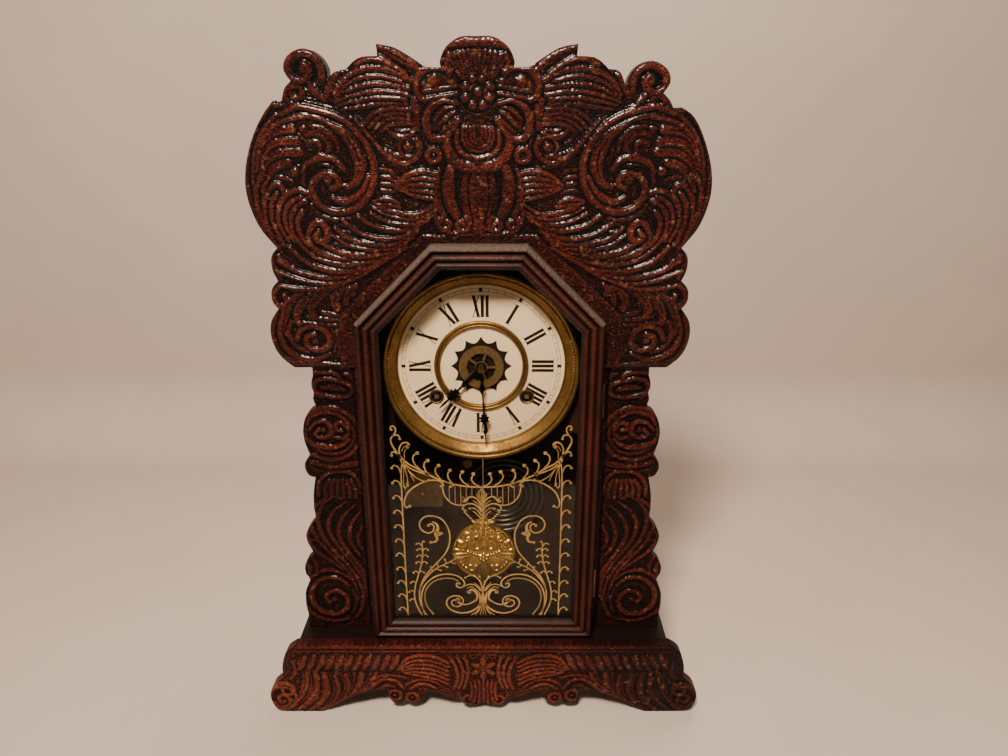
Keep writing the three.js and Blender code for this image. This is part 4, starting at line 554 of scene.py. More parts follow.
def crest_relief():
    """The left half, with its scroll, leaves and half of the flower, is mirrored, and two horns are added."""
    r = Relief(-178, 178, 330, 582, 1.0)
    # The long ridge of the great scroll winds in from the horn to its eye.
    r.stroke([(-143, 528), (-131, 533), (-118, 531), (-104, 527), (-93, 520), (-84, 510), (-79, 499),
              (-77.5, 489), (-80, 477), (-86, 467), (-94, 461), (-104, 458), (-113, 459), (-120, 463.5),
              (-124.5, 471), (-124, 479), (-118, 485), (-110, 486), (-105, 482), (-106, 477), (-110, 475.5)],
             (2.4, 4.2, 3.0), 3.7)
    r.stroke([(-142, 524), (-130, 527.5), (-116, 525), (-103, 519)], (1, 2.6, 1.5), 2.6)
    r.stroke([(-108, 521), (-97, 514), (-89.5, 503), (-87.5, 492), (-91, 481), (-99, 476)], (2, 11, 2), 3.3)
    r.groove([(-96, 512), (-90, 502), (-88, 492), (-91, 483)], 1.2, 0.8)
    r.stroke([(-82, 484), (-86, 474), (-95, 467), (-105, 466), (-110, 469)], (2, 6.5, 2), 3.5)
    r.stroke([(-131, 487), (-126, 494), (-115, 498), (-105, 495), (-100, 489)], (1.5, 4.4, 2), 3.4)
    r.stroke([(-128, 470), (-131, 479), (-128, 488), (-120, 493), (-111, 492)], (2, 2.6, 1.5), 2.4)
    r.dome((-112, 482.5), 5.2, 3.6)
    r.stroke([(-126, 513), (-118, 517), (-110, 513), (-109, 504), (-114, 500)], (2, 5, 2), 2.4)
    r.fan([(-123, 520), (-113, 518), (-105, 510), (-103, 502)],
          [(-125, 508), (-119, 509), (-116, 505), (-118, 501)], 3, (1.2, 2.4, 1.2), 2.5)
    r.fan([(-104, 512), (-99, 503), (-99, 493), (-100, 484)],
          [(-108, 508), (-104, 501), (-104, 495), (-106, 490)], 2, (1, 2, 1), 1.9, beads=2.0)
    r.stroke([(-103, 478), (-96, 477.5), (-89, 481), (-85, 488)], (1, 2.2, 1), 3.0)
    # Ridges that follow the sawn edge down the left side.
    r.stroke([(-152, 532), (-163, 518), (-170, 500), (-172.5, 480), (-170.5, 462), (-163, 444), (-154, 431)],
             2.6, 2.6)
    r.stroke([(-147, 527), (-158, 515), (-165, 500), (-168, 481), (-166, 463), (-159, 446), (-150, 433)], 2.2,
             2.9)
    r.stroke([(-127, 526), (-140, 524), (-151, 518.5), (-158, 510), (-162.5, 499), (-165, 488)],
             (1.6, 3, 1.6), 3.3)
    # Five leaves with rounded tips, one below another.
    for base, bend, shoulder, tip in (
        ((-162, 500), (-157, 510), (-148, 516), (-136, 517.5)),
        ((-163, 490), (-158, 501), (-149, 508), (-134, 509)),
        ((-163, 481), (-158, 493), (-149, 500.5), (-132.5, 501.5)),
        ((-162, 473), (-157, 485), (-150, 491.5), (-141, 494.5)),
    ):
        r.stroke([base, bend, shoulder, tip], (2, 5.4, 5.2), 3.4)
        r.groove([base, bend, shoulder, tip], (0.6, 1.0, 0.5), 0.9)
        r.stroke([(base[0] + 1, base[1] - 4), (bend[0] + 2, bend[1] - 4), (shoulder[0] + 3, shoulder[1] - 4)],
                 (1, 1.6, 1), 2.0)
    r.dome((-136.5, 487.5), 4.3, 3.4).dome((-128, 517.5), 4, 2.8)
    r.stroke([(-152, 484), (-145, 483), (-139, 480)], (1.2, 3, 1.6), 2.5)
    # Loops below them, each a bent feather.
    for line in (
        [(-157, 436), (-162, 452), (-161, 467), (-155, 477), (-149, 478), (-146, 471)],
        [(-152, 438), (-157, 452), (-156, 465), (-152, 471)],
        [(-146, 436), (-152, 449), (-151, 461), (-145, 470.5), (-136, 474), (-129, 472)],
        [(-142, 436), (-147, 448), (-146.5, 458), (-141, 466), (-134, 469)],
        [(-136, 432), (-142.5, 443), (-143, 454), (-138, 463), (-131, 466)],
        [(-131, 432), (-137.5, 442), (-138, 451), (-134, 458)],
        [(-162, 446), (-167, 460), (-167, 474), (-163, 484)],
    ):
        r.stroke(line, (1.6, 3.4, 2.6), 3.3)
    r.stroke([(-127, 464), (-120, 455), (-109, 452), (-97, 453)], (1.5, 3, 1.2), 2.6, beads=2.2)
    # The curled knob and its long tail.
    r.stroke([(-129, 444), (-126, 449), (-120, 449.5), (-116, 444), (-117, 437.5), (-122, 435.5),
              (-125.5, 439), (-123, 442.5)], (3, 4.4, 3), 3.8)
    r.stroke([(-128, 447), (-131, 438), (-126, 429), (-115, 424), (-100, 421.5)], (2, 4, 1.5), 3.3)
    # Long ridges that sweep below the scroll and gather at the foot of the flower.
    for line, width in (
        ([(-79, 465), (-70, 461), (-58, 456.5), (-45, 457), (-33, 464)], 2.2),
        ([(-80, 461), (-68, 455), (-55, 452.5), (-43, 454), (-33, 460)], 2.2),
        ([(-82, 457), (-70, 450.5), (-56, 448.5), (-44, 451), (-34, 456)], 2.4),
        ([(-92, 455), (-80, 447), (-65, 444), (-50, 446.5), (-38, 452)], 3.2),
        ([(-104, 452), (-93, 443), (-78, 438), (-62, 438.5), (-46, 446)], 2.6),
        ([(-110, 446), (-98, 437), (-82, 433.5), (-65, 434), (-47, 443)], 3.4),
        ([(-112, 440), (-100, 432.5), (-84, 429.5), (-66, 431), (-50, 438.5)], 2.2),
        ([(-120, 434), (-107, 427), (-90, 424.5), (-73, 426.5), (-56, 434)], 4.2),
        ([(-137, 433), (-125, 422.5), (-106, 418), (-87, 419.5), (-69, 425), (-56, 431)], 3.2),
        ([(-146, 431), (-133, 419), (-114, 412.5), (-94, 413.5), (-76, 419.5), (-62, 427)], 3.8),
        ([(-156, 421), (-142, 412.5), (-122, 407.5), (-101, 409.5), (-83, 416.5), (-68, 425)], 3.4),
        ([(-158, 413), (-140, 405.5), (-120, 402.5), (-103, 405), (-88, 411.5), (-73, 421)], 2.6),
    ):
        r.stroke(line, (width * 0.5, width, width * 0.55), 3.5)
        r.stroke([(x, z - width * 0.72) for x, z in line], (0.6, 1.1, 0.6), 2.2)
    r.fan([(-108, 449), (-97, 447), (-88, 441)], [(-112, 434), (-104, 432), (-97, 428)], 4, (1.4, 2.2, 1),
          2.6, beads=2.4)
    # A fan of long leaves runs from the horn towards the flower.
    r.stroke([(-103.5, 541), (-96, 551), (-86, 557), (-72, 559), (-58, 556), (-48, 551)], (2, 3.6, 3), 3.6,
             beads=2.6)
    r.stroke([(-103, 539), (-95, 547), (-84, 552.5), (-70, 553.5), (-54, 550)], (1, 2.2, 2), 3.1)
    r.stroke([(-103, 537.5), (-94, 543.5), (-82, 547.5), (-66, 548), (-50, 545.5)], (1.4, 2.8, 2.6), 3.2,
             beads=3.2)
    r.stroke([(-103, 536), (-92, 540), (-78, 543), (-62, 543), (-50, 541)], (1, 2.4, 2), 3.2)
    r.stroke([(-101, 534), (-88, 537), (-72, 539), (-52, 538)], (1, 2.6, 2.2), 3.3)
    r.stroke([(-98, 531.5), (-85, 533), (-70, 535), (-52, 534.5)], (1, 2.4, 2), 3.1)
    r.stroke([(-86, 561), (-77, 565), (-66, 563), (-52, 555)], (2, 6, 3), 3.5)
    r.groove([(-83, 561), (-76, 563.5), (-66, 561.5), (-55, 556)], 0.9, 0.9)
    r.stroke([(-70.5, 573), (-61, 569.5), (-50, 564), (-42, 558)], (2, 7, 3), 3.3)
    r.groove([(-69, 571.5), (-60, 568), (-50, 562.5)], 1.0, 1.0)
    r.stroke([(-93, 561), (-85, 565), (-76, 566.5)], (2, 3.4, 2), 2.4)
    r.stroke([(-101, 555), (-104, 548), (-109, 541)], (4, 7, 4), 3.0, beads=2.6)
    r.fan([(-84, 520), (-76, 528), (-64, 532), (-50, 531)], [(-71, 516), (-65, 520), (-57, 522), (-48, 521)],
          4, (1.4, 3, 2), 3.3)
    r.stroke([(-68, 521), (-63, 514.5), (-55, 512), (-47, 515)], (1.2, 3, 1.6), 3.2)
    r.stroke([(-62, 518), (-56, 516), (-50, 517)], 1.6, 2.8)
    r.stroke([(-45, 519), (-45, 537)], 5.6, 3.0, square=4, beads=2.4)
    # Ribbon with a ball in its curl, and a berry.
    r.stroke([(-89, 524), (-80, 513), (-74, 506), (-66, 498), (-56, 493.5), (-47, 496.5), (-42.5, 504),
              (-45, 511)], (1.4, 2.4, 2), 3.5)
    r.stroke([(-78, 506), (-69, 497), (-59, 491), (-48, 491)], (1, 1.8, 1), 2.5)
    r.stroke([(-69, 503), (-60, 497.5), (-50, 497.5)], (2, 6, 3), 3.0, beads=2.3)
    r.dome((-51.5, 505), 4.6, 3.7).ring((-51.5, 505), 6.6, 1.6, 2.6)
    r.ring((-33, 499), 4.6, 2.8, 3.7).dome((-33, 499), 1.6, 3.2)
    r.fan([(-41, 517), (-39, 509), (-36, 505)], [(-30, 511), (-28, 507), (-26, 502)], 3, (1, 2.2, 1), 2.6,
          beads=2.2)
    # Shells to the left of the stem.
    r.fan([(-63, 477.5), (-53, 485), (-42, 487.5), (-31, 486)],
          [(-61, 474.5), (-50, 471), (-40, 468.5), (-30, 466)], 5, (1.0, 3.2, 2.2), 3.4)
    r.fan([(-80, 466), (-69, 467.5), (-60, 464.5)], [(-77, 462), (-68, 459), (-58, 458)], 3, (1, 3, 1.4), 3.2)
    r.fan([(-74, 489), (-66, 488), (-60, 482)], [(-74, 474), (-67, 473), (-61, 472)], 4, (1.6, 2.4, 1.2), 2.5,
          beads=2.2)
    # A broad leaf hangs under the flower, between two narrower ones, with curls at their feet.
    r.stroke([(-1, 492), (-2, 470), (0, 446)], (16, 25, 15), 3.3, beads=1.7, skirt=1.6)
    r.groove([(-6, 488), (-8, 470), (-4, 449)], 1.1, 0.9)
    r.stroke([(-20, 491), (-22.5, 480), (-22, 466), (-17, 455)], (5, 9.5, 4.5), 3.5, beads=1.9, skirt=1.4)
    r.stroke([(-29, 489), (-32, 477), (-31, 464), (-26, 455)], (1.4, 4.6, 2), 3.3, skirt=1.4)
    r.scroll((-13, 448), 6.5, 1.1, 60, 3.0, 3.6, way=-1)
    r.scroll((-25, 449), 5.5, 1.0, 120, 2.6, 3.3)
    r.stroke([(-31, 466), (-33, 455), (-28, 445), (-18, 441), (-4, 440)], (1.4, 3, 1.8), 3.3)
    # The flower's lowest petal is a deep cup with a thick rim, ribbed inside.
    r.dome((0, 507), 21, 2.5, flat=1.6)
    r.fan([(-11, 519), (-11, 510), (-7, 504), (0, 502)], [(-3, 519), (-3, 514), (-2, 511), (0, 510)], 4,
          (1.2, 1.8, 1.4), 3.2, skirt=0.8)
    r.stroke([(-15, 517), (-15.5, 507), (-10, 499.5), (0, 497)], (1.4, 2.6, 2.2), 3.5, skirt=1.4)
    r.stroke([(-22, 516), (-23, 505), (-15.5, 494), (0, 489.5)], (3, 7.4, 6.6), 3.8, beads=1.5, skirt=1.6)
    # A petal to each side below, with a rim that folds over, and one above that with a bulb and ribs.
    r.stroke([(-20, 529), (-27, 523), (-32, 517)], (4, 8, 4), 2.7, skirt=1.4)
    r.fan([(-17, 533), (-25, 531), (-32, 524)], [(-16, 526), (-21, 520), (-27, 515.5)], 3, (1.2, 2.2, 1.2),
          3.3, skirt=0.9)
    r.stroke([(-15, 535.5), (-25, 537), (-34.5, 532), (-38, 522), (-35, 513), (-27, 511), (-20, 516),
              (-14, 524)], (1.8, 4.4, 2.6), 3.8, skirt=1.6)
    r.stroke([(-18, 549), (-30, 550), (-38, 546)], (6, 13, 8), 2.7, skirt=1.4)
    r.dome((-31, 550), 6.4, 3.6)
    r.fan([(-15, 547), (-25, 545.5), (-39, 543.5)], [(-15, 542), (-25, 540.5), (-37, 538.5)], 2,
          (1.2, 2.2, 1.6), 3.2, skirt=0.9)
    r.stroke([(-19, 557), (-28, 559.5), (-38, 558), (-43.5, 551), (-43, 542), (-38, 537.5)], (2, 4.2, 2.6),
             3.7, skirt=1.6)
    # The top petal fills the sawn lobe, with a smooth turned edge and ribs that spread from the heart.
    r.dome((0, 563), 20, 2.3, flat=1.5)
    r.fan([(-10, 552), (-15.5, 559), (-21, 567)], [(-1, 555), (-1.5, 563), (-2.5, 571)], 6, (1.3, 2.5, 2.2),
          3.1, skirt=0.9)
    r.stroke([(-20, 555), (-22.5, 562), (-20, 569)], (2.4, 4.4, 2), 3.5, skirt=1.4)
    r.stroke([(-27, 560), (-26.5, 569), (-18, 575.5), (0, 577)], (3.4, 5.4, 7), 3.7, skirt=1.8)
    # Eight berries ring the heart.
    r.dome((0, 543), 15, 2.6, flat=2)
    for k in range(8):
        r.dome(polar((0, 543), 9.4, 22 + 45 * k), 4.0, 3.9)
    r.dome((0, 543), 4.4, 3.7)
    # Sawn lobes of the lower side, each with its curls.
    r.stroke([(-160, 427), (-159, 417), (-155, 407)], (2, 3.6, 2), 2.6)
    r.stroke([(-156, 425), (-150, 418), (-143, 414)], (3, 5, 2), 3.0, beads=2.6)
    r.stroke([(-155, 401), (-161.5, 396), (-161.5, 388), (-156.5, 384), (-152, 388), (-154, 393)],
             (1.6, 3.6, 2), 3.4)
    r.stroke([(-157, 401), (-140, 398.5), (-122, 399), (-105, 403.5), (-92, 411)], (1.6, 2.4, 1.2), 3.5)
    r.stroke([(-151, 399), (-140, 395), (-128, 394)], (1, 2, 1), 2.6)
    for line, width in (
        ([(-139, 396), (-149, 389), (-155, 378), (-156, 366), (-151, 357)], 4.6),
        ([(-127, 396), (-139, 389), (-145.5, 378), (-144, 370)], 5.4),
        ([(-116, 399), (-128, 392), (-134, 383), (-132, 377)], 6.2),
        ([(-104, 400), (-112, 395), (-115, 388), (-113, 382)], 6.4),
        ([(-97, 402), (-104, 394), (-106, 387)], 4.4),
    ):
        r.stroke(line, (1.8, width, width * 0.6), 3.4)
        r.groove(line, (0.6, 1.1, 0.6), 1.0)
        r.stroke([(x + width * 0.62, z - 1) for x, z in line], (0.8, 1.5, 0.8), 2.2)
    r.dome((-99.5, 394.5), 3.4, 3.3)
    r.fan([(-126, 380), (-119, 378), (-113, 377)], [(-150, 372), (-135, 370), (-115, 369)], 3,
          (1.4, 2.8, 1.4), 2.9, beads=2.6)
    r.stroke([(-163, 375), (-166, 361), (-162, 347), (-152, 338.5), (-138, 337)], (2, 3.2, 2), 2.8)
    r.stroke([(-157, 377), (-160.5, 364), (-157, 351), (-147, 342), (-134, 340), (-122, 345)], (1.6, 4, 2),
             3.4)
    r.stroke([(-151, 372), (-153, 361), (-148, 351), (-138, 346)], (1.4, 3, 1.6), 3.0)
    r.stroke([(-147, 357), (-144, 364), (-135, 368), (-125, 365), (-120.5, 357), (-124, 350), (-132, 348),
              (-139, 352), (-139, 359), (-133, 361)], (2.4, 4.2, 3), 3.6)
    r.dome((-133, 355.5), 3.6, 3.4)
    r.fan([(-119, 366), (-116, 356), (-118, 347)], [(-115, 364), (-113, 354), (-115, 345)], 2,
          (1.2, 2.4, 1.2), 2.8)
    r.stroke([(-152, 336), (-130, 336.5), (-112, 335.5)], (1.2, 2, 1.2), 3.0)
    r.echoed(1.1).mirrored()

    def on_side(side, drop, line):
        """A line of the left horn, carried over to a side and lowered."""
        return [(-side * x, z - drop) for x, z in line]

    # Horns: a ribbed disc that curls in on itself. The right one is sawn lower than the left one.
    for side, drop in ((-1, 0), (1, 8)):
        (cx, cz), (bead_x, bead_z) = on_side(side, drop, [(-125.0, 559.5), (-123.5, 558)])
        patch = r.window((cx - 19, cz - 24), (cx + 18, cz + 15))
        gx, gz = np.meshgrid(r.x[patch[1]], r.z[patch[0]])
        cleared = np.hypot(gx - cx, gz - cz) < 13.5
        r.height[patch] = np.where(cleared, 0.9, r.height[patch])
        for line, width, height in (
            ([(-111, 552), (-112.5, 562), (-119, 568), (-128, 568.5), (-135, 563), (-135.5, 555),
              (-130, 550.5), (-123.5, 552), (-120.5, 557), (-123.5, 561.5)], (3, 4.4, 3), 3.2),
            ([(-127, 551), (-134, 548), (-138.5, 541), (-136, 535)], (2, 4, 2), 2.6),
            ([(-121, 549), (-117, 543), (-111, 538)], (2, 4.2, 2), 2.8),
        ):
            r.stroke(on_side(side, drop, line), width, height)
        r.stroke(on_side(side, drop * 0.5, [(-149, 534.5), (-141, 534), (-130, 536)]), (2, 3, 2), 2.6)
        r.ring(on_side(side, drop * 0.8, [(-130.5, 543)])[0], 4.2, 2.4, 2.8)
        r.dome((bead_x, bead_z), 4.2, 3.0)
    # A plain band frames the door.
    band_height = 2.5
    for side in (-1, 1):
        corners = [(44, 440.5), (113, 376), (113, 331), (90, 331), (90, 372), (36, 425), (0, 425), (0, 440)]
        inside = filled_rows([Vector((side * x, z)) for x, z in corners], r.x, r.z)
        r.height = np.where(inside, band_height, r.height)
    return r.softened().pitted(0.1, 3)


def upright_relief():
    """The left upright. The right one is the same, mirrored."""
    r = Relief(-182, -86, 60, 352, 0.9)
    r.stroke([(-152, 332), (-130, 333.5), (-108, 332.5)], (2, 3.4, 2), 3.2)
    r.stroke([(-150, 326), (-132, 328), (-122, 327.5), (-116, 324), (-119, 320.5), (-123, 322)], (2, 3, 2),
             3.2)
    r.stroke([(-112, 327), (-106, 324), (-104, 318)], (1.4, 3, 1.4), 2.8)
    r.stroke([(-138, 314), (-136, 320), (-128, 322.5), (-116, 320), (-107.5, 316.5), (-105.5, 311.5),
              (-110, 307.5), (-122, 306), (-133, 309)], 2.6, 3.4, closed=True)
    r.stroke([(-131, 314.5), (-122, 315), (-113, 312.5)], (2, 5, 2), 3.2)
    r.fan([(-150, 318), (-145, 310), (-138, 304)], [(-142, 321), (-140, 312), (-132, 305)], 2, (1, 2.4, 1),
          2.8)
    # A wheel of curls sits in the wide lobe.
    r.ring((-128, 273), 25.5, 3.4, 3.3, squash=0.93)
    r.ring((-128, 273), 20.5, 1.6, 2.7, squash=0.93)
    r.stroke([(-146, 282), (-142, 290), (-132, 294), (-121, 292), (-113, 285), (-112, 277)], (1.6, 4.2, 2.4),
             3.6)
    r.stroke([(-113, 278), (-117, 283), (-122, 282), (-122, 277), (-118, 276)], (2, 3, 2), 3.4)
    r.stroke([(-147, 268), (-140, 262.5), (-130, 260.5), (-120, 262), (-112, 268)], (1.6, 4.6, 2), 3.5)
    r.stroke([(-143, 264), (-136, 257), (-126, 254.5), (-116, 257)], (1.4, 2.8, 1.4), 3.0)
    r.stroke([(-145, 277), (-139, 283), (-131, 284.5), (-126, 279), (-128, 272), (-135, 269.5), (-140, 273),
              (-137, 277)], (1.6, 3.8, 2), 3.6)
    r.stroke([(-124, 270), (-117, 269), (-112, 273)], (1.6, 3.4, 1.6), 3.0)
    r.dome((-133, 276.5), 2.8, 3.4)
    r.stroke([(-152, 290), (-155, 278), (-153, 266), (-147, 256)], (1.2, 2, 1.2), 2.4)
    # A plain band crosses under it, with a bead line.
    r.stroke([(-146, 247), (-132, 243.5), (-118, 243.5), (-104, 246)], (3, 6.4, 4), 3.0, square=3)
    r.stroke([(-145, 240), (-130, 237.5), (-108, 239)], (1, 1.8, 1), 2.6, beads=2.6)
    # A shell in a round-headed niche.
    r.stroke([(-142, 214), (-141, 226), (-134, 235), (-123, 238), (-112, 235.5), (-106, 227), (-105, 216)],
             (1.8, 3, 1.8), 3.4)
    r.fan([(-136, 214), (-136, 223), (-132, 229)], [(-110, 212), (-110, 222), (-113, 229)], 6, (2.8, 4, 2.2),
          3.2)
    r.dome((-123, 212), 4, 3.4)
    # Long acanthus strands run down and curl into the scroll at the foot.
    for line, width in (
        ([(-128, 214), (-139, 206), (-144.5, 192), (-142, 175), (-132, 158), (-120, 142), (-111.5, 124),
          (-110, 104), (-117, 88)], 3.6),
        ([(-119, 208), (-130, 199), (-136, 187), (-134, 174), (-126, 160), (-116, 145), (-108.5, 129),
          (-106, 110)], 3.6),
        ([(-112, 204), (-122, 194), (-127, 182), (-126, 170), (-119, 156), (-111, 143), (-106, 132)], 3.4),
        ([(-108, 197), (-115, 187), (-118, 176), (-116, 165), (-110, 154)], 3.0),
        ([(-106, 183), (-110, 175), (-110, 166), (-107, 160)], 2.4),
        ([(-136, 212), (-147, 203), (-152, 192), (-150, 180)], 3.0),
        ([(-150, 176), (-141, 162), (-130, 149), (-120, 134), (-115.5, 118)], 3.0),
        ([(-154, 168), (-147, 157), (-136, 148), (-126, 139)], 2.4),
    ):
        r.stroke(line, (1.4, width, width * 0.6), 3.4)
        r.stroke([(x - width * 0.75, z - 1.2) for x, z in line], (0.7, 1.4, 0.7), 2.2)
    r.ring((-151, 174), 4.6, 2.2, 2.9)
    r.stroke([(-160, 148), (-156, 141), (-158, 134), (-163, 134)], (1.6, 3.4, 1.6), 2.9)
    r.stroke([(-154, 152), (-150, 143), (-151, 134)], (1, 2.4, 1), 2.7)
    r.stroke([(-161, 124), (-152, 134), (-141, 138.5), (-129, 136), (-119, 128)], (1.6, 3.6, 1.8), 3.2)
    r.stroke([(-163, 118), (-165, 106), (-160, 94), (-150, 86), (-138, 83), (-126, 85)], (1.8, 3, 1.8), 2.9)
    r.stroke([(-122, 122), (-130, 129), (-142, 130), (-152, 124), (-157, 113), (-155, 101), (-147, 93),
              (-136, 91), (-127, 96), (-124, 106), (-129, 114), (-138, 115.5), (-144, 110), (-141, 104)],
             (2, 4.6, 3), 3.7)
    r.dome((-136.5, 106.5), 3.6, 3.6)
    r.fan([(-120, 118), (-116, 106), (-120, 92)], [(-115, 116), (-112, 104), (-114, 92)], 2, (1.2, 2.2, 1.2),
          2.8)
    r.echoed(1.0)
    # The flat strip beside the door, with a groove.
    strip = r.window((-103.5, 60), (-86, 352))
    r.height[strip] = 2.2
    r.groove([(-104.6, 60), (-104.6, 352)], 2.2, 1.6)
    return r.softened().pitted(0.1, 4)


class Mirrored(Relief):
    """The same relief for the other side."""

    def __init__(self, other):
        self.x = -other.x[::-1]
        self.z = other.z
        self.height = other.height[:, ::-1].copy()


def base_relief():
    """The base front's left half and the middle of it, mirrored."""
    r = Relief(-206, 206, -3, 80, 1.4)
    r.stroke([(-166, 74.5), (0, 74.5)], 4.4, 2.6, square=6)
    r.stroke([(-170, 69.4), (-60, 69.4), (0, 70)], 1.0, 2.9, skirt=0.9)
    # A row of slanted gadroons under the top edge.
    for i in range(11):
        x = -168 + i * 8.4
        r.stroke([(x, 50), (x + 3.4, 57), (x + 6.6, 64)], (2.6, 7.6, 3.0), 3.5, skirt=1.2)
        r.stroke([(x - 2.2, 55), (x + 0.6, 61), (x + 3.4, 66)], (0.6, 1.2, 0.6), 2.8, skirt=0.8)
    # Long leaves sweep up from the feet.
    for line, width in (
        ([(-180, 7), (-170, 17), (-163, 31), (-161, 46)], 3.4),
        ([(-172, 4), (-161, 15), (-154, 29), (-153.5, 47)], 5.4),
        ([(-162, 3), (-150, 14), (-145, 28), (-146, 45)], 6.4),
        ([(-150, 4), (-139, 14), (-134, 27), (-136, 43)], 4.2),
        ([(-145, 6), (-131, 16), (-124, 28), (-126, 43)], 4.0),
        ([(-138, 10), (-123, 21), (-114, 33), (-112, 45)], 6.2),
        ([(-130, 14), (-114, 26), (-104, 35), (-98, 45)], 4.2),
        ([(-123, 17), (-108, 27), (-97, 35), (-88, 43)], 3.6),
    ):
        r.stroke(line, (1.8, width * 1.35, width * 0.7), 3.3, skirt=1.8)
        r.stroke([(x - width * 0.9, z + 1) for x, z in line], (0.6, 1.3, 0.6), 3.0, skirt=0.9)
    # The curled foot.
    r.ring((-186, 17), 12.5, 3.4, 3.4)
    r.stroke([(-196, 24), (-189, 33), (-180, 33), (-175, 27), (-178, 21), (-184, 21.5), (-185.5, 26)],
             (2, 4, 2.4), 3.6)
    r.scroll((-186, 15), 8.5, 1.3, 200, 3.2, 3.4)
    r.stroke([(-177, 38), (-172, 47), (-173, 58)], (2, 4, 2), 3.0)
    # Arches over the little drops of the sawn edge.
    r.stroke([(-105, 28), (-99, 35), (-90, 38.5), (-80, 36.5), (-74, 28)], (1.6, 2.8, 1.6), 3.5)
    r.stroke([(-106, 33), (-94, 42), (-82, 42.5), (-71, 40)], (1.2, 2.4, 1.4), 3.2)
    r.stroke([(-96, 27), (-89, 31.5), (-82, 29)], (1.4, 4, 1.4), 3.0)
    r.ring((-82, 20), 5.6, 2.6, 3.4).dome((-82, 20), 2.6, 3.4)
    r.ring((-66, 17), 5.2, 2.4, 3.2).dome((-66, 17), 2.2, 3.2)
    r.stroke([(-67, 27), (-60, 32.5), (-52, 32.5), (-44, 28)], (1.4, 2.8, 1.4), 3.4)
    r.stroke([(-71, 32), (-60, 37.5), (-48, 36.5), (-38, 30)], (1.2, 2.4, 1.2), 3.1)
    r.fan([(-77, 52), (-69, 61.5), (-57, 65), (-44, 63.5), (-32, 57)], [(-72, 45), (-62, 43.5), (-52, 41.5),
          (-42, 38.5), (-33, 33)], 6, (1.2, 3.6, 2.2), 3.5)
    r.dome((-77, 50), 3.2, 3.3)
    # Leaves and a rosette in the middle.
    r.fan([(-30, 62), (-25, 52), (-23, 40), (-27, 28)], [(-17, 63), (-14, 53), (-14, 42), (-18, 28)], 3,
          (1.6, 3.4, 2), 3.3)
    r.dome((0, 50), 9.5, 2.6, flat=1.4)
    for k in range(6):
        r.stroke([polar((0, 50), radius, 90 + 60 * k) for radius in (2.6, 10)], (2.4, 5.4, 4), 3.6)
    r.dome((0, 50), 3.2, 3.9)
    r.fan([(-12, 35), (-10, 25), (-13, 14)], [(0, 37), (0, 25), (0, 9)], 4, (1.4, 3.4, 2), 3.3)
    r.ring((-14, 14.5), 4.8, 2.2, 3.2)
    r.stroke([(-24, 24), (-21, 16), (-23, 10)], (1.2, 2.6, 1.2), 2.8)
    return r.echoed(1.0).mirrored().softened().pitted(0.1, 5)


oak_of_crest = pressed_oak("pressed oak")
oak_of_uprights = pressed_oak("pressed oak, duller", 0.94, varnish=0.14)
oak_of_base = pressed_oak("pressed oak, rubbed", 1.05, 0.18, 0.3, 0.2)
left_relief = upright_relief()
pressed_board("crest_board_pressed", "crest_board", crest_relief(), oak_of_crest)
pressed_board("left_upright_pressed", "left_upright", left_relief, oak_of_uprights)
pressed_board("right_upright_pressed", "right_upright", Mirrored(left_relief), oak_of_uprights)
pressed_board("base_front_pressed", "base_front_board", base_relief(), oak_of_base)


# ---------------------------------------------------------------- door
# Six rails of moulded softwood, mitred and glued, stained like the boards. The outer bevel has worn to
# bare grey wood where hands and dusters reach it, and the middle ridge still shows its pressed nicks.

def rounded(start, end, rise, pieces=6):
    """Points of a hump from one profile point to another. rise lifts its middle towards the front."""
    out = []
    for i in range(pieces):
        t = i / pieces
        hump = math.sin(math.pi * t) * rise
        out.append((start[0] + (end[0] - start[0]) * t, start[1] + (end[1] - start[1]) * t - hump))
    return out


def moulded_oak():
    oak = Finish("moulded and stained rails", Specular_IOR_Level=0.12, Coat_Roughness=0.35)
    lift, worn = oak.held("lift"), oak.held("worn")
    blotch = oak.noise(30, 5, 0.62)
    fine = oak.noise(260, 5, 0.7)
    grain = oak.noise(1.0, 5, 0.6, oak.stretched(700, 700, 60))
    # lift lightens the proud parts of the moulding and darkens its sunk parts, as painted highlight and
    # painted shade.
    tone = lift * 0.42 + blotch * 0.6 + grain * 0.25 - 0.34
    colour = oak.ramp(tone, [
        (0.0, (0.005, 0.002, 0.0014)),
        (0.3, (0.018, 0.0042, 0.0025)),
        (0.62, (0.06, 0.0105, 0.005)),
        (1.0, (0.19, 0.042, 0.018)),
    ])
    rubbed = (worn + fine * 0.5 - 0.42).between(0.0, 0.42)
    grey = oak.ramp(grain, [(0.2, (0.035, 0.023, 0.017)), (0.8, (0.125, 0.09, 0.067))])
    oak.feed(
        Base_Color=oak.mix(rubbed, colour, grey),
        Roughness=rubbed * 0.25 + fine * 0.3 + 0.3,
        Coat_Weight=(1 - rubbed) * 0.12,
        Normal=oak.bump(fine * 0.5 + grain * 0.3 + oak.cells(760) * -0.6, 0.0014, 0.9),
    )
    return oak.material


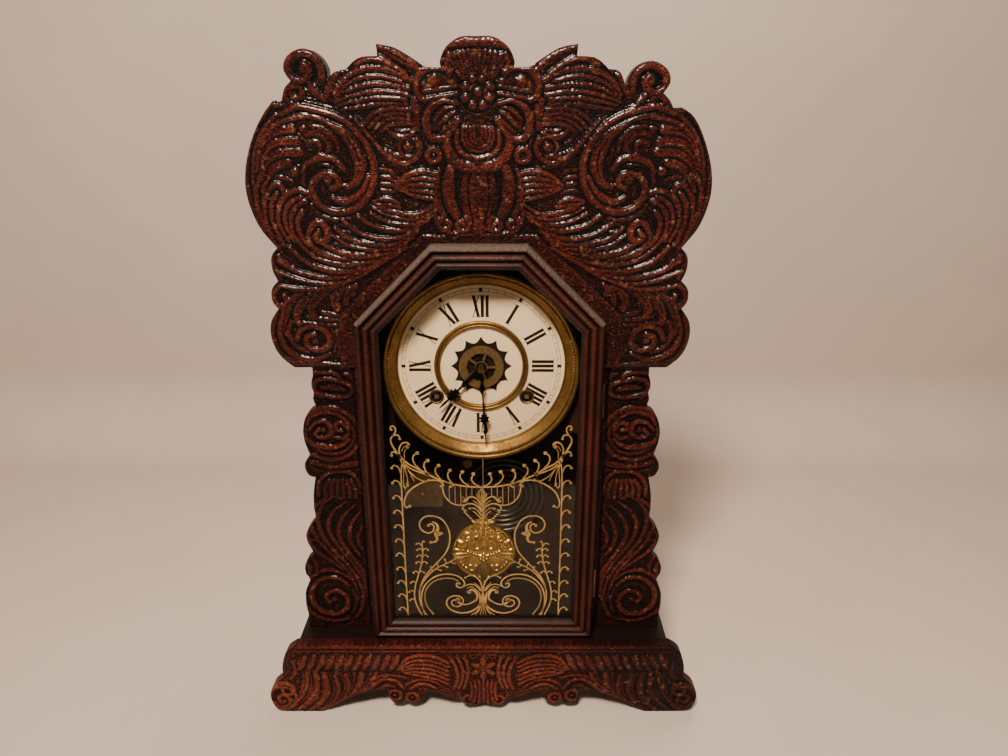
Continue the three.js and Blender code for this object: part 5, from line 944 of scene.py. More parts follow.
rail_section = (
    [(0.0, 15.0), (0.0, 4.0)]
    + rounded((0.0, 4.0), (3.6, 0.5), 0.9)
    + rounded((3.6, 0.5), (5.2, 2.6), 0.3, 4)
    + [(6.0, 3.0)]
    + rounded((6.4, 1.9), (11.4, 1.9), 1.9, 8)
    + [(11.4, 1.9), (11.9, 3.1)]
    + rounded((12.4, 2.6), (17.8, 3.6), 2.2, 9)
    + [(17.8, 3.6), (18.5, 4.6), (18.5, 6.2), (14.5, 6.2), (14.5, 15.0)]
)
nick_pitch = 10.2
ridge_middle, ridge_half = 8.9, 2.6
mitre_gap = 0.05
door_low = corners_of("door_left_stile")[0]
top_rail_low, top_rail_high = corners_of("door_top_rail")
door_half, door_front, door_bottom, door_top = -door_low.x, door_low.y, door_low.z, top_rail_high.z
door_cut = door_half + top_rail_low.x
stained_rails = moulded_oak()


def mitred_rail(name, node, before, start, end, after, wear):
    """One rail of the door, from corner to corner. before and after are the next corners round the door."""
    def inward(a, b, c):
        # The way that a corner moves when its two sides move in by 1 mm.
        u, v = (b - a).normalized(), (c - b).normalized()
        left_u, left_v = Vector((-u.y, u.x)), Vector((-v.y, v.x))
        return (left_u + left_v) / (1 + left_u.dot(left_v))

    at_start, at_end = inward(before, start, end), inward(start, end, after)
    way = (end - start).normalized()
    length = (end - start).length
    steps = max(6, int(length / 1.5))
    count = len(rail_section)
    points, lift, worn = [], [], []
    for i in range(steps + 1):
        t = i / steps
        # Nicks cross the middle ridge.
        nick = max(0.0, math.cos(t * length / nick_pitch * 2 * math.pi) - 0.72) * 1.1
        for inset, depth in rail_section:
            a = start + at_start * inset + way * mitre_gap
            b = end + at_end * inset - way * mitre_gap
            p = a.lerp(b, t)
            ridge = max(0.0, 1 - abs(inset - ridge_middle) / ridge_half) if depth < 3 else 0.0
            points.append((p.x, door_front + depth + nick * ridge, p.y))
            # lift, the nearness to the front, is painted as highlight on the proud parts and shade on the sunk
            # ones.
            lift.append(max(0.0, 1 - depth / 4.0))
            worn.append(wear * max(0.0, 1 - inset / 4.6) * (1.0 if depth < 5 else 0.4) + 0.3 * wear * ridge)
    faces = []
    for i in range(steps):
        for k in range(count):
            a, b = i * count + k, i * count + (k + 1) % count
            faces.append((a, b, b + count, a + count))
    faces.append(tuple(reversed(range(count))))
    faces.append(tuple(steps * count + k for k in range(count)))
    piece = new_piece(name, points, faces, stained_rails)
    for polygon in piece.data.polygons[-2:]:
        polygon.use_smooth = False
    hold(piece, lift=lift, worn=worn)
    sharpened(piece, 38)
    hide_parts(node)
    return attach(piece, "door")


def sharpened(piece, degrees=35):
    """Smooth shading that breaks at edges sharper than the angle. The normals are turned outwards."""
    mesh = piece.data
    work = bmesh.new()
    work.from_mesh(mesh)
    bmesh.ops.recalc_face_normals(work, faces=work.faces)
    limit = math.radians(degrees)
    for edge in work.edges:
        edge.smooth = len(edge.link_faces) == 2 and edge.calc_face_angle(0) < limit
    for face in work.faces:
        face.smooth = True
    work.to_mesh(mesh)
    work.free()
    return piece


door_corners = [Vector(p) for p in (
    (-door_half, door_bottom), (door_half, door_bottom), (door_half, door_top - door_cut),
    (door_half - door_cut, door_top), (door_cut - door_half, door_top), (-door_half, door_top - door_cut),
)]
for index, (rail, wear) in enumerate((
    ("door_bottom_rail", 0.1), ("door_right_stile", 0.15), ("door_right_slant_rail", 1.0),
    ("door_top_rail", 1.15), ("door_left_slant_rail", 1.0), ("door_left_stile", 0.25),
)):
    ring = [door_corners[(index + k) % 6] for k in (-1, 0, 1, 2)]
    mitred_rail(rail + "_moulded", rail, *ring, wear)


# ---------------------------------------------------------------- glass and its gilding
# Thin window glass, held from behind by a stained bead. The scrolls are gold size and leaf laid on its back,
# the right half the mirror of the left.

def clear_glass():
    glass = Finish("window glass")
    glass.tree.nodes.remove(glass.shader)
    clear = glass.node("ShaderNodeBsdfTransparent", {}, {"Color": (0.99, 0.955, 0.89, 1)})
    wave = glass.bump(glass.noise(14, 2), 0.0006, 0.35)
    shine = glass.node("ShaderNodeBsdfGlossy", {}, {"Color": (1, 1, 1, 1), "Roughness": 0.03, "Normal": wave})
    facing = glass.node("ShaderNodeLayerWeight", {}, {"Blend": 0.22}, 0)
    smears = glass.noise(24, 5, 0.7).between(0.35, 0.8)
    share = facing * 0.5 + smears * 0.012
    glass.show(glass.node("ShaderNodeMixShader", {}, {0: share, 1: clear, 2: shine}))
    return glass.material


frame["nodes"]["door_glass"].material_slots[0].material = clear_glass()


leaf_share = 0.88  # Of a line's drawn width, the leaf fills so much.
dot_sides = 10


def prism(points, faces, ring, front, back):
    """Adds a flat shape between two depths to a piece's points and faces."""
    first, count = len(points), len(ring)
    points += [(x, y, z) for y in (front, back) for x, z in ring]
    faces.append(tuple(first + k for k in range(count)))
    faces.append(tuple(first + count + k for k in reversed(range(count))))
    for k in range(count):
        a, b = first + k, first + (k + 1) % count
        faces.append((b, a, a + count, b + count))


def ribbons(name, strokes, dots, front, back, material):
    """Flat gilt lines and dots between two depths. A stroke is its points and its width, or widths."""
    points, faces = [], []
    for line, width in strokes:
        line, share = spline(line, 0.7)
        half = half_widths(width, share) * leaf_share
        way = np.gradient(line, axis=0)
        way /= np.linalg.norm(way, axis=1)[:, None] + 1e-9
        side = np.stack((-way[:, 1], way[:, 0]), 1) * half[:, None]
        first = len(points)
        for p, s in zip(line, side):
            a, b = p + s, p - s
            points += [(a[0], front, a[1]), (b[0], front, b[1]), (b[0], back, b[1]), (a[0], back, a[1])]
        for i in range(len(line) - 1):
            for k in range(4):
                a, b = first + 4 * i + k, first + 4 * i + (k + 1) % 4
                faces.append((a, b, b + 4, a + 4))
        last = first + 4 * (len(line) - 1)
        faces.append((first + 3, first + 2, first + 1, first))
        faces.append((last, last + 1, last + 2, last + 3))
    for x, z, radius in dots:
        ring = [polar((x, z), radius, 360 * k / dot_sides) for k in range(dot_sides)]
        prism(points, faces, ring, front, back)
    return new_piece(name, points, faces, material, smooth=False)


def gold_leaf():
    gold = Finish("gold leaf", Metallic=0.35)
    patch = gold.noise(120, 4, 0.6)
    colour = gold.ramp(patch, [(0.3, (0.5, 0.33, 0.1)), (0.7, (0.82, 0.6, 0.24))])
    gold.feed(Base_Color=colour, Roughness=patch * 0.3 + 0.4,
              Normal=gold.bump(gold.noise(900, 3), 0.0001, 0.5))
    return gold.material


hairline = 0.7
crook_rise = 14.3
left_gilding = [
    ([(-68.2, 97.5), (-68.4, 150), (-68.4, 200), (-68.2, 236), (-67.4, 247), (-66.2, 254)], 1.25),
    ([(-75.1, 282.0), (-74.6, 284.6), (-72.0, 284.6), (-70.7, 281.1), (-72.3, 277.3), (-74.9, 274.0),
      (-75.1, 270.1), (-72.9, 264.8), (-70.3, 260.1), (-67.6, 255.5)], (1.1, 1.3, 2.2)),
    ([(-73.7, 275.8), (-70.9, 277.0), (-68.4, 276.2), (-67.9, 273.8)], 1.2),
    ([(-68.2, 257.6), (-68.6, 264.0), (-66.3, 268.8), (-62.8, 270.1), (-60.3, 268.4), (-61.2, 265.7)],
     (1.2, 1.2, 2.2)),
    ([(-66.6, 262.0), (-64.6, 266.0), (-62.6, 266.6)], 0.5),
    ([(-64.4, 255.0), (-64.4, 261.0), (-62.4, 264.6)], 0.5),
    ([(-75.5, 258.2), (-74.9, 260.9), (-72.4, 261.2), (-69.6, 258.4), (-67.6, 255.0)], (1.1, 1.3, 2.0)),
    ([(-69.0, 259.4), (-67.0, 254.7), (-65.4, 250.1), (-65.0, 245.6)], (1.2, 4.2, 1.6)),
    ([(-53.9, 259.6), (-56.5, 258.4), (-57.6, 254.7), (-56.1, 250.1), (-52.2, 245.6)], (1.1, 1.3, 1.0)),
    ([(-45.4, 252.8), (-48.0, 251.3), (-48.2, 246.8), (-46.0, 241.5)], (1.1, 1.3, 1.0)),
    ([(-36.4, 248.2), (-38.8, 246.2), (-38.7, 241.5), (-35.0, 236.2)], (1.1, 1.3, 1.0)),
    ([(-26.8, 243.6), (-28.5, 241.2), (-28.1, 236.7), (-25.0, 232.4)], (1.1, 1.3, 1.0)),
    ([(-16.5, 242.0), (-18.4, 238.5), (-15.7, 233.3), (-11.0, 229.9)], (1.1, 1.3, 1.0)),
    ([(-7.2, 240.0), (-8.6, 235.4), (-5.7, 231.2), (-0.8, 228.6)], (1.1, 1.3, 1.0)),
    ([(-65.4, 254.0), (-61.0, 249.9), (-55.5, 246.8), (-50.0, 243.4), (-44.2, 239.7), (-37.3, 236.2),
      (-30.6, 233.4), (-22.0, 230.6), (-11.0, 228.8), (0, 228.2)], (1.6, 1.4, 1.5)),
    ([(-65.2, 250.8), (-59.8, 246.0), (-52.9, 242.7), (-48.0, 241.2), (-44.8, 240.0)], (1.6, 1.2, 2.6)),
    ([(-64.2, 247.7), (-59.3, 241.3), (-54.5, 236.7), (-48.5, 234.0), (-44.5, 236.0)], (1.2, 0.9, 1.2)),
    ([(-63.4, 246.5), (-60.0, 240.6), (-57.2, 234.0)], hairline),
    ([(-64.6, 246.0), (-63.2, 239.0), (-62.4, 229.0)], hairline),
    ([(-65.4, 246.2), (-65.8, 239.9), (-66.4, 232.0), (-65.2, 226.5)], hairline),
    ([(-64.0, 232.5), (-63.2, 229.6), (-65.2, 227.9), (-66.8, 229.6)], hairline),
    ([(-62.4, 210.2), (-65.0, 208.4), (-66.6, 211.5), (-66.0, 216.5), (-62.4, 224.0), (-54.4, 230.6),
      (-45.2, 234.4), (-38.0, 234.8), (-33.6, 232.5), (-32.4, 229.9), (-34.4, 229.0)], (1.2, 1.5, 1.2)),
    ([(-33.4, 231.6), (-33.0, 225.0), (-31.0, 218.7), (-26.6, 213.5), (-21.0, 211.0), (-15.0, 211.2)],
     (1.2, 1.3, 1.0)),
    ([(-30.2, 232.9), (-26.0, 232.5), (-24.4, 230.0), (-26.6, 228.2)], (1.2, 1.2, 1.6)),
    ([(-27.8, 229.0), (-27.8, 215.0)], 0.45),
    ([(-22.8, 229.6), (-22.8, 212.0)], 0.45),
    ([(-18.0, 229.4), (-18.0, 211.4)], 0.45),
    ([(-13.2, 229.2), (-13.2, 218.6)], 0.45),
    ([(-8.4, 228.9), (-8.4, 219.8)], 0.45),
    ([(0, 194), (0, 205), (0, 227)], (2.2, 1.2, 0.7)),
    ([(0, 227), (-2.6, 223.0), (-1.8, 219.5), (0, 216.5)], (0.7, 1.0, 0.8)),
    ([(-4.2, 222.0), (-3.4, 219.2), (0, 214.0)], (1.2, 0.9, 0.8)),
    ([(0, 208.5), (-2.4, 214.6), (-6.0, 218.2), (-10.2, 219.0), (-12.8, 216.4), (-14.6, 214.4),
      (-16.6, 216.2), (-15.4, 218.6)], (1.4, 1.4, 2.6)),
    ([(0, 206.0), (-3.6, 212.2), (-7.6, 215.4)], hairline),
    ([(0, 202.4), (-2.4, 208.2), (-7.0, 211.8), (-11.6, 212.2), (-15.6, 210.3), (-16.6, 207.4),
      (-14.4, 205.4)], (1.4, 1.3, 1.4)),
    ([(0, 199.2), (-3.4, 205.2), (-7.2, 208.0), (-10.6, 207.6)], (1.2, 0.9, 0.7)),
    ([(0, 196.2), (-4.4, 202.2), (-7.8, 205.2)], (1.2, 0.9, 0.7)),
    ([(-28.2, 181.3), (-29.9, 188.9), (-34.4, 196.5), (-40.9, 200.0), (-48.4, 199.9), (-53.2, 195.9),
      (-54.4, 191.1), (-52.2, 186.0), (-47.0, 183.4), (-42.8, 185.5), (-41.9, 190.3), (-44.7, 192.6),
      (-47.0, 190.6)], (1.3, 1.4, 1.3)),
    ([(-28.2, 181.3), (-28.9, 172.6), (-32.2, 163.7), (-38.3, 155.3), (-46.3, 145.8), (-52.0, 137.8),
      (-55.4, 129.8), (-57.0, 121.7), (-56.6, 111.3), (-53.6, 101.8), (-50.9, 97.5)], (1.3, 1.4, 1.3)),
    ([(-43.2, 194.6), (-39.4, 192.2), (-38.6, 187.3), (-40.6, 182.6), (-39.4, 178.0), (-41.0, 174.8),
      (-45.0, 173.9)], (1.0, 3.6, 1.3)),
    ([(-41.4, 184.2), (-34.9, 183.2), (-40.2, 180.6)], (2.2, 1.6, 2.0)),
    ([(-52.9, 173.5), (-52.6, 163.7), (-54.0, 152.5), (-57.0, 141.2), (-60.2, 129.8), (-61.6, 119.4),
      (-60.2, 108.9), (-55.6, 97.5)], (1.0, 1.3, 1.3)),
    ([(-57.0, 124.1), (-53.8, 132.1), (-47.4, 141.2), (-40.4, 147.5), (-32.6, 152.0), (-26.0, 155.9),
      (-20.4, 161.0)], (1.4, 1.3, 0.9)),
    ([(-45.2, 97.5), (-50.4, 106.6), (-52.4, 115.9), (-51.2, 124.1), (-47.0, 130.6), (-41.0, 135.0),
      (-33.2, 137.0), (-26.4, 136.4), (-21.8, 134.0)], 0.4),
    ([(-52.9, 97.5), (-55.4, 108.9), (-55.2, 119.4), (-52.2, 128.7), (-46.6, 135.5), (-39.8, 139.8),
      (-32.0, 141.2), (-24.2, 140.0), (-18.4, 136.0), (-16.4, 131.0), (-19.4, 127.1), (-23.2, 128.2),
      (-23.4, 131.5), (-20.9, 131.8)], (1.2, 1.5, 1.4)),
    ([(0, 122.0), (-1.6, 131.5), (-5.2, 137.4), (-10.6, 139.8), (-15.4, 137.8)], (1.4, 1.4, 1.0)),
    ([(0, 121.0), (-3.4, 128.0), (-7.6, 132.2)], hairline),
    ([(-17.6, 128.0), (-11.8, 130.6), (-6.4, 129.2), (-2.0, 123.5)], (1.0, 1.1, 1.4)),
    ([(-14.5, 126.4), (-9.4, 127.6), (-3.0, 121.0)], hairline),
    ([(-13.0, 121.8), (-10.8, 124.8), (-6.8, 123.0), (-5.0, 117.5), (-6.4, 112.6)], (1.6, 2.8, 1.4)),
    ([(-3.6, 122.0), (-2.4, 116.0), (-2.0, 108.5)], (1.4, 2.6, 2.6)),
    ([(0, 121.0), (0, 114.0), (0, 107.0)], (2.2, 3.4, 3.6)),
    ([(-2.0, 110.0), (-6.4, 104.4), (-13.0, 100.6), (-21.0, 99.9), (-28.8, 103.0), (-32.8, 108.9),
      (-31.6, 115.0), (-26.2, 118.2), (-20.2, 117.2), (-17.8, 113.0), (-19.8, 108.2), (-24.2, 106.6),
      (-28.0, 109.1), (-27.6, 113.0), (-24.4, 114.0)], (2.0, 1.4, 1.2)),
    ([(-6.0, 114.5), (-10.6, 110.6), (-16.6, 108.9), (-21.6, 110.9), (-22.4, 114.6)], (1.6, 1.3, 3.2)),
    ([(-2.6, 108.9), (-5.0, 102.0), (-10.8, 97.5)], (1.6, 1.1, 0.8)),
    ([(-1.8, 108.0), (-4.0, 102.0), (-7.2, 97.5)], hairline),
    ([(-1.0, 108.0), (-1.8, 102.0), (-2.6, 97.5)], hairline),
    ([(0, 108.0), (0, 97.5)], hairline),
]
left_dots = [
    (-74.4, 281.9, 1.1), (-67.6, 273.4, 1.1), (-61.4, 266.3, 1.7), (-75.2, 258.2, 1.2), (-53.6, 260.3, 1.6),
    (-45.1, 253.4, 1.6), (-36.1, 248.8, 1.6), (-26.7, 244.2, 1.6), (-16.2, 242.8, 1.6), (-7.0, 240.9, 1.6),
    (-62.0, 209.9, 1.3), (-34.6, 229.3, 1.2), (-26.8, 228.6, 1.2), (-15.8, 216.6, 1.9), (-14.2, 205.8, 1.1),
    (-46.6, 190.9, 1.3), (-45.2, 174.0, 1.3), (-21.2, 131.4, 1.2), (-24.0, 113.2, 1.3), (-22.6, 113.8, 2.2),
    (-12.4, 122.4, 1.9), (-46.0, 240.6, 1.8), (-15.6, 137.6, 1.0), (-18.0, 128.0, 0.9), (-10.8, 207.6, 0.9),
]
for k in range(11):
    # Crooks stand out from the border line, one above another.
    z = 98.5 + k * crook_rise
    left_gilding.append(([(-68.4, z), (-70.2, z + 5.6), (-73.6, z + 7.4), (-75.6, z + 5.6)], (1.0, 1.2, 1.2)))
    left_dots.append((-75.7, z + 5.0, 1.2))
for x, z, sides in (
    (-60.9, 112.6, (-1,)), (-61.4, 121.4, (-1,)), (-59.6, 131.2, (-1,)), (-56.8, 141.8, (-1, 1)),
    (-54.0, 151.8, (-1, 1)), (-53.0, 158.6, (-1, 1)), (-52.6, 165.2, (-1, 1)),
):
    # Little hooks stand off the tall sprig, on both sides where there is room.
    for side in sides:
        left_gilding.append(([(x, z), (x + side * 2.4, z + 2.6), (x + side * 4.6, z + 1.4)], (0.9, 1.0, 1.0)))
        left_dots.append((x + side * 4.7, z + 0.9, 0.95))
left_gilding.append(([(-52.8, 170.0), (-55.6, 173.0), (-58.6, 171.8)], 1.1))
left_gilding.append(([(-52.8, 173.0), (-51.6, 175.4), (-50.4, 174.0)], 1.1))
# Short buds grow from the lower leaf.
for x, z, dx, dz in (
    (-44.4, 143.6, -1.4, 5.0), (-39.0, 148.2, -1.6, 4.6), (-32.0, 152.2, -1.4, 4.4),
    (-41.0, 146.8, 3.8, -1.6), (-35.2, 150.4, 3.9, -1.8), (-28.6, 154.0, 3.9, -1.6),
    (-22.6, 158.8, 4.0, -1.2), (-22.8, 158.8, -2.6, 3.0),
):
    left_gilding.append(([(x, z), (x + dx * 0.7, z + dz * 0.75), (x + dx, z + dz)], 1.0))
    left_dots.append((x + dx, z + dz, 0.95))
# Two strings of dots: one in the upper fan, and one along the thin line of the lowest scroll.
for line, gap in (
    ([(-15.0, 204.0), (-11.0, 199.5), (-6.4, 194.0)], 2.4),
    ([(-45.2, 99.0), (-50.4, 106.6), (-52.4, 115.9), (-51.2, 124.1), (-47.0, 130.6), (-41.0, 135.0),
      (-33.2, 137.0), (-26.4, 136.4), (-22.4, 134.2)], 1.75),
):
    line, share = spline(line, 0.3)
    length = np.linalg.norm(np.diff(line, axis=0), axis=1).sum()
    for at in np.linspace(0, 1, int(length / gap) + 1):
        x, z = np.interp(at, share, line[:, 0]), np.interp(at, share, line[:, 1])
        left_dots.append((x, z, 0.34 * gap + 0.1))
off_middle = [(line, width) for line, width in left_gilding if any(abs(x) > 0.01 for x, z in line)]
both_gilding = left_gilding + [([(-x, z) for x, z in line], width) for line, width in off_middle]
both_dots = left_dots + [(-x, z, radius) for x, z, radius in left_dots]
leaf_front = corners_of("door_glass")[1].y + 0.03
leaf_back = leaf_front + 0.1
gilding = ribbons("glass_gilding", both_gilding, both_dots, leaf_front, leaf_back, gold_leaf())
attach(gilding, "door")


# ---------------------------------------------------------------- dial
# A printed paper dial, glued to a zinc plate and framed by a spun brass bezel with a row of pearls. Two brass
# rollings ring its middle, and brass grommets line the winding holes.

def aged_paper():
    paper = Finish("dial paper", Specular_IOR_Level=0.25)
    cloud = paper.noise(16, 4, 0.6)
    foxing = paper.noise(190, 5, 0.75)
    colour = paper.ramp(cloud * 0.7 + foxing * 0.3, [(0.3, (0.92, 0.76, 0.57)), (0.7, (0.98, 0.86, 0.69))])
    paper.feed(Base_Color=colour, Roughness=foxing * 0.2 + 0.55,
               Normal=paper.bump(paper.noise(1500, 2), 0.00003))
    return paper.material


def printing_ink():
    ink = Finish("printing ink", Specular_IOR_Level=0.15)
    wear = ink.noise(700, 3, 0.6)
    ink.feed(Base_Color=ink.ramp(wear, [(0.35, (0.008, 0.006, 0.005)), (0.85, (0.035, 0.026, 0.02))]),
             Roughness=wear * 0.3 + 0.35)
    return ink.material


def old_brass(name, bright, dark, gloss=0.28, tarnish=0.5):
    brass = Finish(name, Metallic=1.0)
    cloud = brass.noise(45, 5, 0.65)
    spots = brass.noise(420, 4, 0.7)
    age = (cloud * 0.65 + spots * 0.35).between(0.34, 0.34 + tarnish)
    brass.feed(
        Base_Color=brass.mix(age, (*bright, 1), (*dark, 1)),
        Roughness=age * 0.3 + gloss,
        Normal=brass.bump(spots, 0.00006, 0.7),
    )
    return brass.material


ink = printing_ink()
frame["nodes"]["dial_paper"].material_slots[0].material = aged_paper()
paper_low, paper_high = corners_of("dial_paper")
dial_x, dial_z = 0.0, (paper_low.z + paper_high.z) / 2
paper_front = paper_low.y


def on_dial(turn, across, out):
    """A point on the dial: turn in degrees clockwise from the top, then across and outwards in mm."""
    a = math.radians(turn)
    return (dial_x + out * math.sin(a) + across * math.cos(a),
            dial_z + out * math.cos(a) - across * math.sin(a))


def flats(name, shapes, front, back, material):
    """Flat printed shapes, each a ring of points with no holes, which may run either way round."""
    points, faces = [], []
    for ring in shapes:
        area = sum(a[0] * b[1] - b[0] * a[1] for a, b in zip(ring, ring[1:] + ring[:1]))
        prism(points, faces, ring if area > 0 else ring[::-1], front, back)
    return new_piece(name, points, faces, material, smooth=False)


numeral_low, numeral_high = 42.6, 60.4
thick_stem, thin_stem, hairline_half = 2.6, 0.7, 0.2
shapes = []


def strip(turn, low, high, half, foot=0.0, top=0.0):
    """A printed strip from one radius to another. foot and top are how far across its two ends lie."""
    shapes.append([on_dial(turn, foot - half, low), on_dial(turn, foot + half, low),
                   on_dial(turn, top + half, high), on_dial(turn, top - half, high)])


def bar(turn, foot, top, width, serif=0.9):
    """One stem of a numeral, with hairline feet."""
    strip(turn, numeral_low, numeral_high, width / 2, foot, top)
    for x, level in ((foot, numeral_low), (top, numeral_high)):
        strip(turn, level - hairline_half, level + hairline_half, width / 2 + serif, x, x)


letter_width = {"I": 3.9, "V": 6.4, "X": 6.6}
for hour, letters in enumerate(("XII", "I", "II", "III", "IIII", "V", "VI", "VII", "VIII", "IX", "X", "XI")):
    turn = hour * 30
    x = -sum(letter_width[letter] for letter in letters) / 2
    for letter in letters:
        width = letter_width[letter]
        left, middle, right = x + 1.3, x + width / 2, x + width - 1.1
        if letter == "I":
            bar(turn, middle, middle, thick_stem)
        elif letter == "V":
            bar(turn, middle + 0.2, left, thick_stem, 0.5)
            bar(turn, middle + 0.2, right, thin_stem, 0.7)
        else:
            bar(turn, right - 0.2, left, thick_stem, 0.5)
            bar(turn, left - 0.2, right - 0.2, thin_stem, 0.9)
        x += width
# The minute track is a ladder between two fine rings, with a block at every fifth minute.
track_low, track_high, line_half = 64.0, 66.6, 0.13
for minute in range(60):
    if minute % 5:
        strip(minute * 6, track_low, track_high, 0.16)
    else:
        strip(minute * 6, track_low - 0.4, track_high + 0.4, 1.35)
for radius in (track_low, track_high):
    for turn in range(0, 360, 3):
        low, high = radius - line_half, radius + line_half
        shapes.append([on_dial(turn, 0, low), on_dial(turn + 3, 0, low), on_dial(turn + 3, 0, high),
                       on_dial(turn, 0, high)])
# The star round the alarm disc has twelve points with hollow sides, and the disc's arbor comes through it.
star_points, side_steps = 12, 8
star_hollow, star_reach, star_hole = 20.6, 5.2, 6.0
star = []
for k in range(star_points * side_steps):
    turn, share = k / side_steps * 30, k % side_steps / side_steps
    reach = star_hollow + star_reach * (1 - math.sin(math.pi * share) ** 0.75)
    star.append((on_dial(turn, 0, star_hole), on_dial(turn, 0, reach)))
for (inner, outer), (next_inner, next_outer) in zip(star, star[1:] + star[:1]):
    shapes.append([inner, next_inner, next_outer, outer])
print_piece = flats("dial_printing", shapes, paper_front - 0.05, paper_front - 0.01, ink)
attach(print_piece, "case")


def turned(name, section, material, x, z, sides=128):
    """A ring turned round an axis that points at the viewer. section is a closed line of (radius, y)."""
    points, faces = [], []
    count = len(section)
    for i in range(sides):
        t = math.tau * i / sides
        points += [(x + r * math.cos(t), y, z + r * math.sin(t)) for r, y in section]
        after = (i + 1) % sides
        for a in range(count):
            b = (a + 1) % count
            faces.append((i * count + a, i * count + b, after * count + b, after * count + a))
    return sharpened(new_piece(name, points, faces, material))


class Tree:
    """A Geometry Nodes tree with named inputs for its sizes, which ends as a piece with a plain mesh."""

    def __init__(self, name, **sizes):
        self.name = name
        self.group = bpy.data.node_groups.new(name, "GeometryNodeTree")
        self.group.interface.new_socket("Geometry", in_out="OUTPUT", socket_type="NodeSocketGeometry")
        self.values = {}
        for label, value in sizes.items():
            kind = "NodeSocketInt" if isinstance(value, int) else "NodeSocketFloat"
            label = label.replace("_", " ")
            socket = self.group.interface.new_socket(label, in_out="INPUT", socket_type=kind)
            self.values[socket.identifier] = value
        self.given = self.group.nodes.new("NodeGroupInput").outputs

    def node(self, kind, **inputs):
        """Adds a node and gives its first output. An input is a value, or the output of another node."""
        node = self.group.nodes.new("GeometryNode" + kind)
        for key, value in inputs.items():
            socket = node.inputs[key.replace("_", " ")]
            if isinstance(value, bpy.types.NodeSocket):
                self.group.links.new(value, socket)
            else:
                socket.default_value = value
        return node.outputs[0]

    def piece(self, made, material, place, turn=0.0):
        """The piece, stood up from the ground that it is made on, and moved to its place in mm."""
        real = self.node("RealizeInstances", Geometry=made)
        dressed = self.node("SetMaterial", Geometry=real, Material=material)
        self.group.links.new(dressed, self.group.nodes.new("NodeGroupOutput").inputs["Geometry"])
        holder = bpy.data.objects.new(self.name + "_maker", bpy.data.meshes.new(self.name + "_maker"))
        bpy.context.scene.collection.objects.link(holder)
        maker = holder.modifiers.new("maker", "NODES")
        maker.node_group = self.group
        for identifier, value in self.values.items():
            maker[identifier] = value
        holder.update_tag()
        mesh = bpy.data.meshes.new_from_object(holder.evaluated_get(bpy.context.evaluated_depsgraph_get()))
        bpy.data.objects.remove(holder)
        stood = Matrix.Rotation(math.radians(90), 4, "X") @ Matrix.Rotation(turn, 4, "Z")
        mesh.transform(Matrix.Translation(Vector(place) * MM) @ stood)
        mesh.name = self.name
        piece = bpy.data.objects.new(self.name, mesh)
        bpy.context.scene.collection.objects.link(piece)
        return piece


bezel_brass = old_brass("bezel brass", (0.37, 0.24, 0.085), (0.11, 0.065, 0.027), 0.38, 0.36)
bezel_low, bezel_high = corners_of("dial_bezel")
front, seat, rim = bezel_low.y, bezel_high.y, (bezel_high.x - bezel_low.x) / 2
roll = 2.2  # The radius of the bezel's outer bead.
bezel_section = [(rim, seat), (rim, front + 3.2)]
for a in np.linspace(0, 2.6, 9):
    bezel_section.append((rim - roll + roll * math.cos(a), front + roll - roll * math.sin(a)))
for inset, depth in (
    (4.4, 2.6), (6.2, 2.9), (7.0, 3.5), (9.6, 6.0), (11.4, 7.6), (12.2, 7.4), (12.7, 8.0),
):
    bezel_section.append((rim - inset, front + depth))
bezel_section += [(rim - 12.8, seat - 0.1), (rim - 12.5, seat)]
bezel = turned("dial_bezel_spun", bezel_section, bezel_brass, dial_x, dial_z, 160)
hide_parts("dial_bezel")
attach(bezel, "case")
row_radius, pearl_radius = rim - 5.3, 1.15
pearl_tree = Tree(
    "bezel_pearls",
    Beads=int(math.tau * row_radius / (2.25 * pearl_radius)),
    Row_radius=row_radius * MM,
    Bead_radius=pearl_radius * MM,
)
row = pearl_tree.node("MeshCircle", Vertices=pearl_tree.given["Beads"], Radius=pearl_tree.given["Row radius"])
ball = pearl_tree.node("MeshUVSphere", Segments=8, Rings=5, Radius=pearl_tree.given["Bead radius"])
smooth_ball = pearl_tree.node("SetShadeSmooth", Geometry=ball)
set_out = pearl_tree.node("InstanceOnPoints", Points=row, Instance=smooth_ball)
pearls = pearl_tree.piece(set_out, bezel_brass, (dial_x, front + 2.6, dial_z))
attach(pearls, "case")

ring_low, ring_high = corners_of("dial_centre_ring")
front, seat, rim = ring_low.y, ring_high.y, (ring_high.x - ring_low.x) / 2


def rolling(middle, r):
    """Half-round section of one rolled ring."""
    return [(middle + r * math.cos(a), front + r - r * math.sin(a)) for a in np.linspace(0, math.pi, 9)]


ring_section = [(rim, seat)] + rolling(rim - 1.4, 1.4) + rolling(rim - 3.9, 1.1) + [(rim - 5.2, seat)]
centre_ring = turned("dial_centre_rollings", ring_section, bezel_brass, dial_x, dial_z)
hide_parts("dial_centre_ring")
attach(centre_ring, "case")

winding_across, winding_below = 38.3, 27.5
grommet_section = [(radius, paper_front + y) for radius, y in (
    (5.0, 0.2), (5.0, -0.5), (5.5, -0.8), (6.2, -0.7), (6.6, -0.05))]
for side, label in ((-1, "left"), (1, "right")):
    x, z = dial_x + side * winding_across, dial_z - winding_below
    grommet = turned(f"winding_grommet_{label}", grommet_section, bezel_brass, x, z, 40)
    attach(grommet, "case")


# ---------------------------------------------------------------- boards of the case, movement and hands
# The case is nailed up from plain stained boards. The movement has brass plates and wheels gone brown, on
# steel arbors, with blackened steel hands and a lacquered alarm disc. Their solids keep their shapes.

